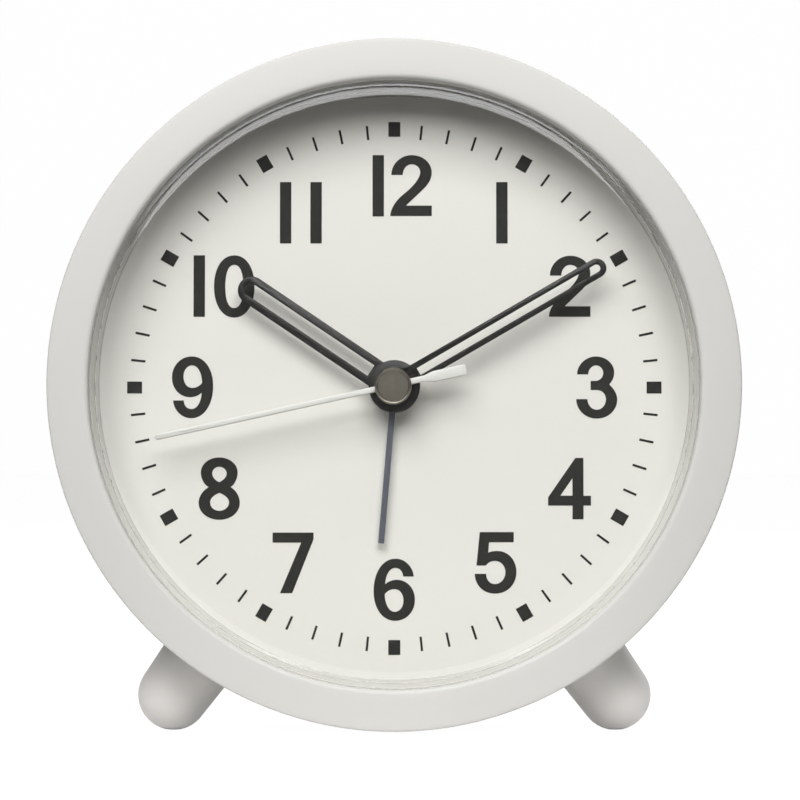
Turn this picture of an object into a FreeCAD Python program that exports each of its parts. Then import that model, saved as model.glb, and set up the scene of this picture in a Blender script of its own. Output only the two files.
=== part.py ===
"""Round quartz alarm clock that stands on two tapered peg feet and a heel on its rear cover.

The clock is drawn upright on its own axis: X to the right, Y backwards, Z up, with the bezel's front in the
plane Y = 0 and the hands' axis along Y. The stance at the end leans it back and sets it on the floor.
"""

import FreeCAD, Part
import math
import os
import re

import Sketcher
from FreeCAD import Placement, Rotation, Vector

DOC = FreeCAD.newDocument("AlarmClock")
SHEET = DOC.addObject("Spreadsheet::Sheet", "dims")

# Driving dimensions in millimetres and degrees. Depths are measured back from the bezel's front.
DIMENSIONS = {
    # stance
    "lean": 4.0,
    "origin_depth": 21.12,
    # case
    "case_radius": 50.2,
    "bezel_bore": 44.2,
    "bezel_roll": 0.5,
    "bezel_ease": 0.7,
    "seat_radius": 45.6,
    "seat_depth": 8.0,
    "case_back_radius": 48.5,
    "case_depth": 30.0,
    "case_wall": 2.0,
    # how far a cutting tool runs past what it cuts
    "overcut": 1.0,
    # lens
    "lens_front": 1.2,
    "lens_thick": 1.6,
    "lens_plug": 44.1,
    "lens_skirt": 1.5,
    "shoulder_start": 40.65,
    "shoulder_radius": 5.5,
    "shoulder_drop": 1.3,
    "disc_radius": 45.4,
    # dial and its carrier
    "dial_depth": 10.0,
    "dial_thick": 1.0,
    "dial_hole": 3.7,
    "carrier_thick": 1.5,
    "carrier_hole": 4.2,
    "post_radius": 3.0,
    "post_pilot": 1.1,
    "post_circle": 41.5,
    "stake_radius": 1.2,
    "stake_head": 2.0,
    "stake_rise": 0.6,
    # rear cover
    "cover_depth": 39.0,
    "cover_plate": 2.0,
    "cover_rim": 48.1,
    "cover_edge": 2.4,
    "cover_lip": 46.1,
    "lip_depth": 28.0,
    "lip_wall": 0.8,
    "heel_width": 12.0,
    "heel_length": 5.0,
    "heel_depth": 32.0,
    "heel_drop": 50.0,
    "sound_length": 12.0,
    "sound_pitch": 2.8,
    "sound_width": 1.3,
    "sound_height": 31.0,
    "screw_head": 2.7,
    "screw_sink": 1.1,
    "screw_cap": 1.0,
    "screw_slot": 0.6,
    "screw_shank": 1.25,
    "screw_play": 0.15,
    "screw_length": 12.0,
    # peg feet
    "foot_angle": 35.9,
    "foot_depth": 15.0,
    "foot_reach": 55.15,
    "foot_ball": 5.2,
    "foot_root": 5.5,
    "foot_start": 48.9,
    "foot_spigot": 2.6,
    "foot_boss": 3.4,
    "foot_seat": 45.5,
    "spigot_short": 0.4,
    "pilot_length": 8.0,
    "foot_screw": 1.5,
    "foot_screw_head": 2.4,
    "foot_screw_cap": 1.6,
    "foot_screw_length": 7.0,
    # hands, thickness and depth of each front face
    "hand_thick": 0.3,
    "second_depth": 5.0,
    "minute_depth": 6.2,
    "hour_depth": 7.4,
    "alarm_depth": 8.6,
    "hub_radius": 3.75,
    "alarm_hub": 3.7,
    "minute_width": 2.83,
    "minute_slot": 1.14,
    "minute_length": 35.5,
    "hour_width": 4.07,
    "hour_slot": 1.82,
    "hour_length": 27.1,
    "slot_start": 4.1,
    "slot_rim": 0.9,
    "alarm_width": 0.88,
    "alarm_length": 22.9,
    "blade_overlap": 0.3,
    "needle_tip": 0.5,
    "needle_width": 0.64,
    "needle_length": 35.3,
    "tail_width": 0.9,
    "tail_neck": 4.6,
    "paddle_start": 5.6,
    "paddle_width": 1.65,
    "paddle_end": 10.7,
    "second_boss": 1.0,
    "boss_rise": 0.5,
    "cap_radius": 2.68,
    "cap_thick": 1.1,
    "cap_edge": 0.3,
    "cap_socket": 0.5,
    "minute_angle": 59.8,
    "hour_angle": 304.0,
    "alarm_angle": 184.8,
    "second_angle": 257.6,
    # nested tubes of the hands
    "arbor_radius": 0.5,
    "minute_bore": 0.6,
    "minute_tube": 1.5,
    "hour_bore": 1.6,
    "hour_tube": 2.4,
    "alarm_bore": 2.5,
    "alarm_tube": 3.3,
    # gear train: teeth and modules
    "rotor_leaves": 6,
    "fifth_teeth": 36,
    "fifth_leaves": 6,
    "second_teeth": 30,
    "second_leaves": 6,
    "third_teeth": 45,
    "third_leaves": 6,
    "centre_teeth": 48,
    "cannon_leaves": 10,
    "minute_teeth": 30,
    "minute_leaves": 8,
    "hour_teeth": 32,
    "setting_leaves": 10,
    "alarm_teeth": 30,
    # gear train: distance between the arbors of each mesh
    "rotor_reach": 7.0,
    "fifth_reach": 7.2,
    "third_reach": 12.24,
    "minute_reach": 12.6,
    "setting_reach": 13.44,
    # gear train: depth of each layer and thickness of each wheel
    "alarm_layer": 14.2,
    "hour_layer": 15.6,
    "cannon_layer": 17.0,
    "centre_layer": 18.5,
    "third_layer": 21.0,
    "second_layer": 22.3,
    "fifth_layer": 23.6,
    "wheel_thick": 1.0,
    "thin_wheel": 0.8,
    "fine_wheel": 0.6,
    "leaf_drop": 0.1,
    "window_circle": 6.2,
    "window_radius": 2.4,
    "running_gap": 0.05,
    "pivot_radius": 0.35,
    "pivot_front": 0.6,
    "pivot_back": 0.7,
    "sleeve_sink": 0.5,
    "setting_arbor": 0.9,
    "arbor_step": 0.3,
    "knob_shaft": 1.7,
    "knob_gap": 0.1,
    # movement housings
    "movement_depth": 12.5,
    "movement_side": 28.0,
    "movement_top": 26.5,
    "movement_base": 22.0,
    "housing_wall": 1.4,
    "housing_split": 21.0,
    "housing_back": 29.6,
    "plate_depth": 19.8,
    "plate_thick": 0.8,
    "ear_radius": 3.2,
    "ear_side": 30.6,
    "ear_height": 14.0,
    "shelf_side": 1.5,
    "shelf_height": 3.0,
    "shelf_level": 12.0,
    "box_screw_head": 2.0,
    "box_screw_cap": 1.2,
    "box_screw_inset": 5.0,
    # alarm contact spring
    "spring_inner": 11.5,
    "spring_outer": 21.0,
    "spring_foot": 22.6,
    "spring_depth": 14.5,
    "spring_thick": 0.3,
    "spring_base": 15.0,
    "spring_width": 3.0,
    # stepping motor
    "magnet_radius": 2.8,
    "magnet_depth": 24.7,
    "magnet_thick": 1.6,
    "stator_depth": 24.9,
    "stator_thick": 0.8,
    "stator_hole": 3.3,
    "stator_ring": 5.4,
    "stator_strip": 4.4,
    "stator_reach": 11.2,
    "stator_leg": 3.0,
    "stator_end": 2.0,
    "coil_offset": 12.5,
    "coil_radius": 2.55,
    "coil_flange": 2.8,
    "coil_barrel": 1.5,
    "coil_core": 1.6,
    "coil_cheek": 0.8,
    # electronics
    "board_left": 26.0,
    "board_right": 15.0,
    "board_height": 40.0,
    "board_base": 18.0,
    "board_depth": 25.5,
    "board_thick": 1.0,
    "crystal_radius": 1.5,
    "crystal_length": 8.0,
    "crystal_base": 4.0,
    "blob_radius": 3.4,
    "blob_crown": 1.7,
    "blob_rise": 1.1,
    "blob_drop": 6.0,
    "piezo_radius": 9.0,
    "piezo_thick": 0.5,
    "piezo_gap": 0.8,
    # battery and its bay
    "cell_radius": 7.25,
    "cell_length": 49.4,
    "cell_tip": 2.75,
    "cell_tip_length": 1.1,
    "cell_depth": 27.5,
    "cell_height": 28.9,
    "bay_clearance": 0.25,
    "bay_front": 19.5,
    "bay_back": 36.0,
    "bay_floor": 37.2,
    "bay_side": 27.0,
    "bay_wall": 0.6,
    "bay_round": 45.2,
    "contact_thick": 0.4,
    "contact_front": 5.0,
    "contact_back": 6.0,
    "contact_side": 4.0,
    "tongue_front": 3.0,
    "tongue_side": 2.0,
    # battery door
    "door_side": 27.5,
    "door_top": 21.6,
    "door_base": 36.8,
    "door_thick": 1.1,
    "door_gap": 0.15,
    "bay_window_side": 26.5,
    "bay_window_top": 22.6,
    "bay_window_base": 35.8,
    "hook_side": 17.0,
    "hook_width": 6.0,
    "hook_thick": 0.7,
    "hook_toe": 0.9,
    "hook_slack": 0.5,
    "latch_side": 3.0,
    "grip_side": 7.0,
    "grip_sink": 0.5,
    "grip_drop": 2.2,
    "grip_width": 1.2,
    # knobs and switch on the back
    "knob_radius": 6.5,
    "knob_root": 23.5,
    "knob_front": 40.0,
    "knob_back": 45.4,
    "knob_edge": 0.8,
    "knob_socket": 3.5,
    "shaft_play": 0.3,
    "flute_depth": 0.6,
    "flute_width": 1.6,
    "flute_count": 12,
    "switch_height": 15.0,
    "switch_travel": 4.0,
    "switch_play": 0.2,
    "switch_stem": 2.0,
    "switch_neck": 1.5,
    "switch_cap": 5.0,
    "switch_half": 2.4,
    "switch_top": 1.5,
    "rib_rise": 0.6,
    "rib_pitch": 1.5,
    "rib_width": 0.7,
    "keeper_side": 4.0,
    "keeper_half": 3.0,
    "keeper_depth": 1.2,
}

for row, (word, value) in enumerate(DIMENSIONS.items(), start=1):
    SHEET.set(f"A{row}", word)
    SHEET.set(f"B{row}", str(value))
    SHEET.setAlias(f"B{row}", word)
DOC.recompute()

NODES = {}
ALONG_Y = Rotation(Vector(1, 0, 0), -90)
ALONG_X = Rotation(Vector(0, 1, 0), 90)


def size(word):
    """A driving dimension's value, for shapes that part of the code works out by itself."""
    return float(SHEET.get(word))


def bound(text):
    """An expression for the document, with every driving dimension's word turned into its cell."""

    def cell(found):
        word = found.group(0)
        return f"dims.{word}" if word in DIMENSIONS else word

    return re.sub(r"[a-z_]+", cell, text)


# ---------------------------------------------------------------- solids bound to the sheet


def bind(part, **expressions):
    for name, text in expressions.items():
        part.setExpression(name.replace("__", ".").replace("Base.", "Placement.Base."), bound(str(text)))
    return part


def rod(name, radius, start, end, x=0, z=0):
    """A round bar along Y from one depth to another."""
    part = DOC.addObject("Part::Cylinder", name)
    part.Placement = Placement(Vector(), ALONG_Y)
    return bind(part, Radius=radius, Height=f"({end}) - ({start})", Base__x=x, Base__y=start, Base__z=z)


def cross_rod(name, radius, start, end, y, z):
    """A round bar along X."""
    part = DOC.addObject("Part::Cylinder", name)
    part.Placement = Placement(Vector(), ALONG_X)
    return bind(part, Radius=radius, Height=f"({end}) - ({start})", Base__x=start, Base__y=y, Base__z=z)


def upright_rod(name, radius, start, end, x, y):
    """A round bar along Z."""
    part = DOC.addObject("Part::Cylinder", name)
    return bind(part, Radius=radius, Height=f"({end}) - ({start})", Base__x=x, Base__y=y, Base__z=start)


def block(name, x, y, z):
    """A box between pairs of X, Y and Z."""
    part = DOC.addObject("Part::Box", name)
    bind(part, Base__x=x[0], Base__y=y[0], Base__z=z[0])
    spans = {"Length": x, "Width": y, "Height": z}
    return bind(part, **{side: f"({span[1]}) - ({span[0]})" for side, span in spans.items()})


def fuse(name, *parts):
    joined = DOC.addObject("Part::MultiFuse", name)
    joined.Shapes = list(parts)
    return joined


def cut(name, base, *tools):
    part = DOC.addObject("Part::Cut", name)
    part.Base = base
    part.Tool = tools[0] if len(tools) == 1 else fuse(name + "_tools", *tools)
    return part


def group(name, *parts):
    """Separate solids that share one node."""
    together = DOC.addObject("Part::Compound", name)
    together.Links = list(parts)
    return together


def node(label, part, turn=0.0):
    """Name a finished sub-part; turn swings it clockwise round the hands' axis, seen from the front."""
    part.Label = label
    NODES[label] = (part, turn)
    return part


# ---------------------------------------------------------------- sketched bodies


def body(name):
    return DOC.addObject("PartDesign::Body", name)


def sketch(owner, name, plane, back=None):
    """A sketch on one of the body's origin planes; back is the depth of an XZ sketch."""
    drawing = owner.newObject("Sketcher::SketchObject", name)
    planes = {feature.Role: feature for feature in owner.Origin.OriginFeatures}
    drawing.AttachmentSupport = [(planes[plane], "")]
    drawing.MapMode = "FlatFace"
    if back is not None:
        drawing.setExpression("AttachmentOffset.Base.z", bound(f"-({back})"))
    return drawing


def fix(drawing, geometry, point, x, y):
    """Hold a sketch point at a place given by two expressions."""
    for kind, text in (("DistanceX", x), ("DistanceY", y)):
        index = drawing.addConstraint(Sketcher.Constraint(kind, geometry, point, 1.0))
        drawing.setExpression(f"Constraints[{index}]", bound(str(text)))


def outline(drawing, corners):
    """A closed outline of straight edges through corners, each a pair of expressions.

    Its edges start as a round polygon, so that no two corners lie together before they are held.
    """
    count = len(corners)
    first = drawing.GeometryCount
    start_radius = 9
    turns = [math.tau * i / count for i in range(count)]
    ring = [Vector(start_radius * math.cos(turn), start_radius * math.sin(turn), 0) for turn in turns]
    for i in range(count):
        drawing.addGeometry(Part.LineSegment(ring[i], ring[(i + 1) % count]), False)
    for i in range(count):
        drawing.addConstraint(Sketcher.Constraint("Coincident", first + i, 2, first + (i + 1) % count, 1))
    for i, (x, y) in enumerate(corners):
        fix(drawing, first + i, 1, x, y)
    return drawing


def circle(drawing, radius, x=0, y=0):
    index = drawing.addGeometry(Part.Circle(Vector(0, 0, 0), Vector(0, 0, 1), 1.0), False)
    fix(drawing, index, 3, x, y)
    held = drawing.addConstraint(Sketcher.Constraint("Radius", index, 1.0))
    drawing.setExpression(f"Constraints[{held}]", bound(str(radius)))
    return drawing


def pad(owner, drawing, thick):
    """Raise a sketch towards the front by a thickness."""
    feature = owner.newObject("PartDesign::Pad", drawing.Name + "_pad")
    feature.Profile = drawing
    feature.setExpression("Length", bound(str(thick)))
    return feature


def pocket(owner, drawing, thick):
    """Sink a sketch towards the back by a thickness."""
    feature = owner.newObject("PartDesign::Pocket", drawing.Name + "_pocket")
    feature.Profile = drawing
    feature.setExpression("Length", bound(str(thick)))
    return feature


def revolve(owner, name, corners):
    """Turn an outline of radii and depths round the hands' axis."""
    drawing = outline(sketch(owner, name, "XY_Plane"), corners)
    feature = owner.newObject("PartDesign::Revolution", name + "_turned")
    feature.Profile = drawing
    feature.ReferenceAxis = (drawing, ["V_Axis"])
    feature.Angle = 360
    return feature


def ring_edges(feature, radius, depth):
    """The names of a turned feature's round edges of one radius at one depth."""
    slack = 0.02
    found = []
    for number, edge in enumerate(feature.Shape.Edges, start=1):
        if isinstance(edge.Curve, Part.Circle):
            off = max(abs(edge.Curve.Radius - radius), abs(edge.Curve.Center.y - depth))
            if off < slack:
                found.append(f"Edge{number}")
    return found


def ease(owner, base, name, kind, radius, places):
    """Round or bevel a turned feature's round edges; places holds their radii and depths."""
    DOC.recompute()
    feature = owner.newObject(f"PartDesign::{kind}", name)
    feature.Base = (base, [edge for place in places for edge in ring_edges(base, *place)])
    feature.setExpression("Radius" if kind == "Fillet" else "Size", bound(radius))
    return feature


# ---------------------------------------------------------------- toothed rings

TOOTH = {"rise": 0.8, "depth": 0.95, "root": 0.27, "tip": 0.12}
LEAF = {"rise": 0.7, "depth": 1.0, "root": 0.22, "tip": 0.09}


def toothed(name, teeth, partner, reach, form, heading, layer, thick, x="0", z="0"):
    """A spur ring with straight-flanked teeth, one of them pointing along heading, on an axis along Y.

    Its module follows from its partner's teeth and from the reach between the two arbors. form gives the
    teeth's rise and depth in modules, and their half widths at root and tip as shares of the pitch. heading
    is in degrees from X towards Z, and x and z are expressions.
    """
    count = int(size(teeth))
    module = 2 * size(reach) / (count + size(partner))
    pitch = math.tau / count
    root = module * (count / 2 - form["depth"])
    tip = module * (count / 2 + form["rise"])
    flank = ((root, -form["root"]), (tip, -form["tip"]), (tip, form["tip"]), (root, form["root"]))
    corners = []
    for tooth in range(count):
        for radius, share in flank:
            angle = math.radians(heading) + (tooth + share) * pitch
            corners.append(Vector(radius * math.cos(angle), 0, radius * math.sin(angle)))
    face = Part.Face(Part.makePolygon(corners + corners[:1]))
    ring = DOC.addObject("Part::Feature", name)
    ring.Shape = face.extrude(Vector(0, size(thick), 0))
    return bind(ring, Base__x=x, Base__y=layer, Base__z=z)


def facing(teeth, heading):
    """The heading of a gear whose gap must face back along heading to take its partner's tooth."""
    return heading + 180 + 180 / size(teeth)


# Arbor places: each stands off its partner by the reach of their mesh.
SETTING_X = "setting_reach"
MINUTE_X = "-minute_reach"
THIRD_Z = "third_reach"
FIFTH_Z = "-fifth_reach"
ROTOR_X = "rotor_reach"
COIL_X = "rotor_reach + coil_offset"


# ---------------------------------------------------------------- case, lens and dial


FEET = ((1, "left"), (-1, "right"))


def foot_tool(name, kind, side, start, **sizes):
    """A round solid on a foot's own axis, down and out from the clock's axis; start is along it."""
    part = DOC.addObject(kind, name)
    part.Placement = Placement(Vector(), Rotation(Vector(0, 1, 0), side * size("foot_angle")))
    outward = part.Placement.Rotation.multVec(Vector(0, 0, -1))
    part.Placement.Rotation = part.Placement.Rotation.multiply(Rotation(Vector(1, 0, 0), 180))
    bind(part, Base__x=f"({start}) * {outward.x}", Base__y="foot_depth", Base__z=f"({start}) * {outward.z}")
    return bind(part, **sizes)


def turned_case():
    """The front shell: flat bezel, seat for the lens and dial, and a side that narrows to the rear."""
    shell = body("case_shell")
    inner_back = "case_back_radius - case_wall"
    turned = revolve(shell, "case_profile", [
        ("bezel_bore", 0), ("case_radius", 0), ("case_back_radius", "case_depth"), (inner_back, "case_depth"),
        ("seat_radius", "seat_depth"), ("bezel_bore", "seat_depth")])
    rolled = ease(shell, turned, "outer_roll", "Chamfer", "bezel_roll", [(size("case_radius"), 0)])
    ease(shell, rolled, "inner_ease", "Chamfer", "bezel_ease", [(size("bezel_bore"), 0)])
    return shell


def front_case():
    """The shell with a boss inside, a round seat outside and a spigot hole for each foot."""
    bosses, holes = [], []
    for side, word in FEET:
        bosses.append(foot_tool(f"{word}_foot_boss", "Part::Cylinder", side, start="foot_seat",
                                Radius="foot_boss", Height="foot_start - foot_seat"))
        holes.append(foot_tool(f"{word}_foot_recess", "Part::Cylinder", side, start="foot_start",
                               Radius="foot_root + running_gap", Height="foot_reach - foot_start"))
        holes.append(foot_tool(f"{word}_spigot_hole", "Part::Cylinder", side, start="foot_seat",
                               Radius="foot_spigot + running_gap", Height="foot_start - foot_seat + overcut"))
    return node("front_case", cut("case_drilled", fuse("case_bossed", turned_case(), *bosses), *holes))


def foot(side, word):
    """A tapered round peg on a flat seat, with a spigot and a pilot hole for its screw."""
    cone = foot_tool(f"{word}_peg", "Part::Cone", side, start="foot_start", Radius1="foot_root",
                     Radius2="foot_ball", Height="foot_reach - foot_start")
    ball = foot_tool(f"{word}_ball", "Part::Sphere", side, start="foot_reach", Radius="foot_ball")
    spigot = foot_tool(f"{word}_spigot", "Part::Cylinder", side, start="foot_seat + spigot_short",
                       Radius="foot_spigot", Height="foot_start - foot_seat")
    pilot = foot_tool(f"{word}_pilot", "Part::Cylinder", side, start="foot_seat", Radius="foot_screw",
                      Height="pilot_length")
    blank = fuse(f"{word}_blank", cone, ball, spigot)
    return node(f"{word}_foot", cut(f"{word}_drilled", blank, pilot))


def foot_screws():
    """The screw that draws each foot's spigot into its boss, from inside the case."""
    screws = []
    for side, word in FEET:
        shank = foot_tool(f"{word}_screw_shank", "Part::Cylinder", side, start="foot_seat",
                          Radius="foot_screw", Height="foot_screw_length")
        head = foot_tool(f"{word}_screw_head", "Part::Cylinder", side, start="foot_seat - foot_screw_cap",
                         Radius="foot_screw_head", Height="foot_screw_cap")
        screws.append(fuse(f"{word}_foot_screw", shank, head))
    return node("foot_screws", group("foot_screw_pair", *screws))


def lens():
    """A clear cup: a flat window with a domed shoulder, a skirt down to the dial and a flange."""
    cup = body("lens_cup")
    window_back = "lens_front + lens_thick"
    inner = "lens_plug - lens_skirt"
    revolve(cup, "lens_profile", [
        (0, "lens_front"), ("lens_plug", "lens_front"), ("lens_plug", "seat_depth"),
        ("disc_radius", "seat_depth"), ("disc_radius", "dial_depth"), (inner, "dial_depth"),
        (inner, window_back), (0, window_back)])
    corner = body("lens_corner")
    top, low = "lens_front - overcut", "lens_front + shoulder_drop"
    revolve(corner, "corner_profile", [
        ("shoulder_start", top), ("lens_plug + overcut", top), ("lens_plug + overcut", low),
        ("shoulder_start", low)])
    roll = DOC.addObject("Part::Torus", "shoulder_roll")
    roll.Placement = Placement(Vector(), ALONG_Y)
    bind(roll, Radius1="shoulder_start", Radius2="shoulder_radius", Base__y="lens_front + shoulder_radius")
    return node("lens", cut("lens_domed", cup, cut("lens_waste", corner, roll)))


def dial():
    plate = body("dial_plate")
    back = "dial_depth + dial_thick"
    revolve(plate, "dial_profile", [
        ("dial_hole", "dial_depth"), ("disc_radius", "dial_depth"), ("disc_radius", back),
        ("dial_hole", back)])
    return node("dial", plate)


POST_ANGLES = (45, 135, 195, 345)


def post_place(angle):
    reach = size("post_circle")
    return reach * math.cos(math.radians(angle)), reach * math.sin(math.radians(angle))


def dial_carrier():
    """The plate behind the dial, with four hollow screw posts and four stakes that hold the movement."""
    front, back = "dial_depth + dial_thick", "dial_depth + dial_thick + carrier_thick"
    stake_foot = "movement_depth + housing_wall"
    post_top = "cover_depth - cover_plate"
    parts = [rod("carrier_disc", "disc_radius", front, back)]
    holes = [rod("carrier_eye", "carrier_hole", front, back)]
    for angle in POST_ANGLES:
        x, z = post_place(angle)
        parts.append(rod(f"post_{angle}", "post_radius", back, post_top, x, z))
        holes.append(rod(f"pilot_{angle}", "post_pilot", "cover_depth - screw_length - overcut",
                         post_top, x, z))
    for side in (-1, 1):
        for level in (-1, 1):
            x, z = f"{side} * ear_side", f"{level} * ear_height"
            stem = f"{'left' if side < 0 else 'right'}_{'low' if level < 0 else 'high'}"
            stake_top = f"{stake_foot} + stake_rise"
            parts.append(rod(f"stake_{stem}", "stake_radius", back, stake_top, x, z))
            parts.append(rod(f"stake_head_{stem}", "stake_head", stake_foot, stake_top, x, z))
    return node("dial_carrier", cut("carrier_bored", fuse("carrier_posted", *parts), *holes))


# ---------------------------------------------------------------- rear cover and what is on it


def floor():
    """The space under the table, which the heel is cut flat against, in the upright clock's frame."""
    length, width, height = 120, 80, 20
    slab = DOC.addObject("Part::Box", "floor")
    slab.Length, slab.Width, slab.Height = length, width, height
    below = Placement(Vector(-length / 2, -width / 2, -height), Rotation())
    slab.Placement = stance().inverse().multiply(below)
    return slab


def turned_cover():
    """The cover's cup: a bevelled back plate and a lip that slips inside the front shell."""
    cup = body("cover_cup")
    plate_front = "cover_depth - cover_plate"
    inner = "cover_lip - lip_wall"
    turned = revolve(cup, "cover_profile", [
        (0, plate_front), (inner, plate_front), (inner, "lip_depth"), ("cover_lip", "lip_depth"),
        ("cover_lip", "case_depth"), ("case_back_radius", "case_depth"), ("cover_rim", "cover_depth"),
        (0, "cover_depth")])
    ease(cup, turned, "cover_round", "Chamfer", "cover_edge", [(size("cover_rim"), size("cover_depth"))])
    return cup


def door_space():
    """The battery window, the recess that the door lies in, and slots for the door's two hooks."""
    outside = "cover_depth + overcut"
    inside = "cover_depth - cover_plate - overcut"
    ledge = "cover_depth - door_thick - running_gap"
    recess = block("door_recess", ("-door_side - door_gap", "door_side + door_gap"), (ledge, outside),
                   ("-door_base - door_gap", "-door_top + door_gap"))
    window = block("bay_window", ("-bay_window_side", "bay_window_side"), (inside, outside),
                   ("-bay_window_base", "-bay_window_top"))
    half = "(hook_width / 2 + 2 * door_gap)"
    slots = []
    for side, word in ((-1, "left"), (1, "right")):
        middle = f"{side} * hook_side"
        slots.append(block(f"{word}_hook_slot", (f"{middle} - {half}", f"{middle} + {half}"), (inside, ledge),
                           ("-door_base - hook_toe - hook_slack", "-bay_window_base")))
    return [recess, window, *slots]


def rear_cover():
    """The back cup with its heel, knob holes, switch slot, battery window, sound holes and screw holes."""
    heel = block("heel", ("-heel_width / 2", "heel_width / 2"), ("heel_depth", "heel_depth + heel_length"),
                 ("-heel_drop", "-cover_rim + overcut"))
    tools = door_space()
    plate = ("cover_depth - cover_plate - overcut", "cover_depth + overcut")
    tools.append(rod("time_hole", "knob_shaft + shaft_play", *plate, x=MINUTE_X))
    tools.append(rod("alarm_hole", "knob_shaft + shaft_play", *plate, x=SETTING_X))
    reach = "(switch_stem / 2 + switch_travel / 2 + switch_play)"
    half = "(switch_neck + switch_play)"
    tools.append(block("switch_slot", (f"-{reach}", reach), plate,
                       (f"switch_height - {half}", f"switch_height + {half}")))
    for step in range(-2, 3):
        half, level = f"sound_length / 2 - {abs(step)}", f"sound_height + {step} * sound_pitch"
        tools.append(block(f"sound_slot_{step + 3}", (f"-({half})", half), plate,
                           (f"{level} - sound_width / 2", f"{level} + sound_width / 2")))
    for angle in POST_ANGLES:
        x, z = post_place(angle)
        tools.append(rod(f"cover_hole_{angle}", "screw_shank + screw_play", *plate, x=x, z=z))
        tools.append(rod(f"counterbore_{angle}", "screw_head + screw_play", "cover_depth - screw_sink",
                         "cover_depth + overcut", x=x, z=z))
    heeled = fuse("cover_heeled", turned_cover(), heel)
    return node("rear_cover", cut("cover_rested", cut("cover_pierced", heeled, *tools), floor()))


def case_screws():
    """Four slotted screws that hold the cover, and the carrier behind the dial, to the front shell."""
    head_seat = "cover_depth - screw_sink"
    screws = []
    for angle in POST_ANGLES:
        x, z = post_place(angle)
        shank = rod(f"shank_{angle}", "post_pilot", "cover_depth - screw_length",
                    f"{head_seat} + screw_slot", x, z)
        head = rod(f"head_{angle}", "screw_head", head_seat, f"{head_seat} + screw_cap", x, z)
        slot = block(f"drive_{angle}", (f"{x} - screw_head", f"{x} + screw_head"),
                     ("cover_depth - screw_slot", "cover_depth"),
                     (f"{z} - screw_slot / 2", f"{z} + screw_slot / 2"))
        screws.append(cut(f"case_screw_{angle}", fuse(f"screw_blank_{angle}", shank, head), slot))
    return node("case_screws", group("case_screw_set", *screws))


def battery_door():
    """A lid that tips on its round lower edge, with two hooks at its foot and a latch tongue at its head."""
    outer, inner = "cover_depth - running_gap", "cover_depth - door_thick"
    half = "(door_thick - running_gap) / 2"
    low = f"-door_base + {half}"
    plate_front = "cover_depth - cover_plate"
    lid = block("door_lid", ("-door_side", "door_side"), (inner, outer), (low, "-door_top"))
    roll = cross_rod("door_roll", half, "-door_side", "door_side", f"{outer} - {half}", low)
    parts = [lid, roll]
    for side, word in ((-1, "left"), (1, "right")):
        middle = f"{side} * hook_side"
        span = (f"{middle} - hook_width / 2", f"{middle} + hook_width / 2")
        parts.append(block(f"{word}_hook_root", span, (plate_front, inner),
                           ("-door_base", "-bay_window_base + hook_thick")))
        parts.append(block(f"{word}_hook_toe", span, (plate_front, f"{plate_front} + hook_thick"),
                           ("-door_base - hook_toe", "-door_base")))
    latch_top = "-bay_window_top - 2 * door_gap"
    parts.append(block("door_latch", ("-latch_side", "latch_side"), (f"{plate_front} - hook_thick", inner),
                       (f"{latch_top} - hook_thick", latch_top)))
    grip = block("door_grip", ("-grip_side", "grip_side"), ("cover_depth - grip_sink", "cover_depth"),
                 ("-door_top - grip_drop - grip_width", "-door_top - grip_drop"))
    return node("battery_door", cut("door_gripped", fuse("door_blank", *parts), grip))


def alarm_switch():
    """A slide: a ribbed thumb cap outside the cover, a stem through its slot and a keeper plate inside."""
    off = "-switch_travel / 2"
    skin, top = "cover_depth + knob_gap", "cover_depth + switch_top"
    keeper_front = "cover_depth - cover_plate - keeper_depth"
    face = ("switch_height - switch_half", "switch_height + switch_half")
    cap = block("switch_thumb", (f"{off} - switch_cap / 2", f"{off} + switch_cap / 2"), (skin, top), face)
    ribs = []
    for step in (-1, 0, 1):
        middle = f"{off} + {step} * rib_pitch"
        width = (f"{middle} - rib_width / 2", f"{middle} + rib_width / 2")
        ribs.append(block(f"switch_rib_{step + 1}", width, (top, f"{top} + rib_rise"), face))
    stem = block("switch_shank", (f"{off} - switch_stem / 2", f"{off} + switch_stem / 2"),
                 (keeper_front, skin), ("switch_height - switch_neck", "switch_height + switch_neck"))
    keeper = block("switch_keeper", (f"{off} - keeper_side", f"{off} + keeper_side"),
                   (keeper_front, "cover_depth - cover_plate - knob_gap"),
                   ("switch_height - keeper_half", "switch_height + keeper_half"))
    return node("alarm_switch", fuse("switch_slide", cap, stem, keeper, *ribs))


def knob(label, x):
    """A fluted knob with a hollow shaft that grips the setting arbor."""
    wheel = body(label + "_wheel")
    disc_sketch = circle(sketch(wheel, label + "_disc", "XZ_Plane", "knob_back"), "knob_radius")
    disc = pad(wheel, disc_sketch, "knob_back - knob_front")
    ease(wheel, disc, label + "_edge", "Chamfer", "knob_edge", [(size("knob_radius"), size("knob_back"))])
    flute_sketch = outline(sketch(wheel, label + "_flute", "XZ_Plane", "knob_front - knob_gap"), [
        (0, "knob_radius - flute_depth"), ("flute_width / 2", "knob_radius + 2 * knob_gap"),
        ("-flute_width / 2", "knob_radius + 2 * knob_gap")])
    flute = pocket(wheel, flute_sketch, "knob_back - knob_front + 2 * knob_gap")
    DOC.recompute()
    ring = wheel.newObject("PartDesign::PolarPattern", label + "_flutes")
    ring.Originals = [flute]
    ring.Axis = (flute_sketch, ["N_Axis"])
    ring.Angle = 360
    ring.Occurrences = int(size("flute_count"))
    wheel.Tip = ring
    wheel.setExpression("Placement.Base.x", bound(x))
    shaft = rod(label + "_shaft", "knob_shaft", "knob_root", "knob_front", x=x)
    bore = rod(label + "_bore", "setting_arbor", "knob_root", "knob_root + knob_socket", x=x)
    return node(label, cut(label + "_bored", fuse(label + "_whole", wheel, shaft), bore))


# ---------------------------------------------------------------- hands


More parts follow.
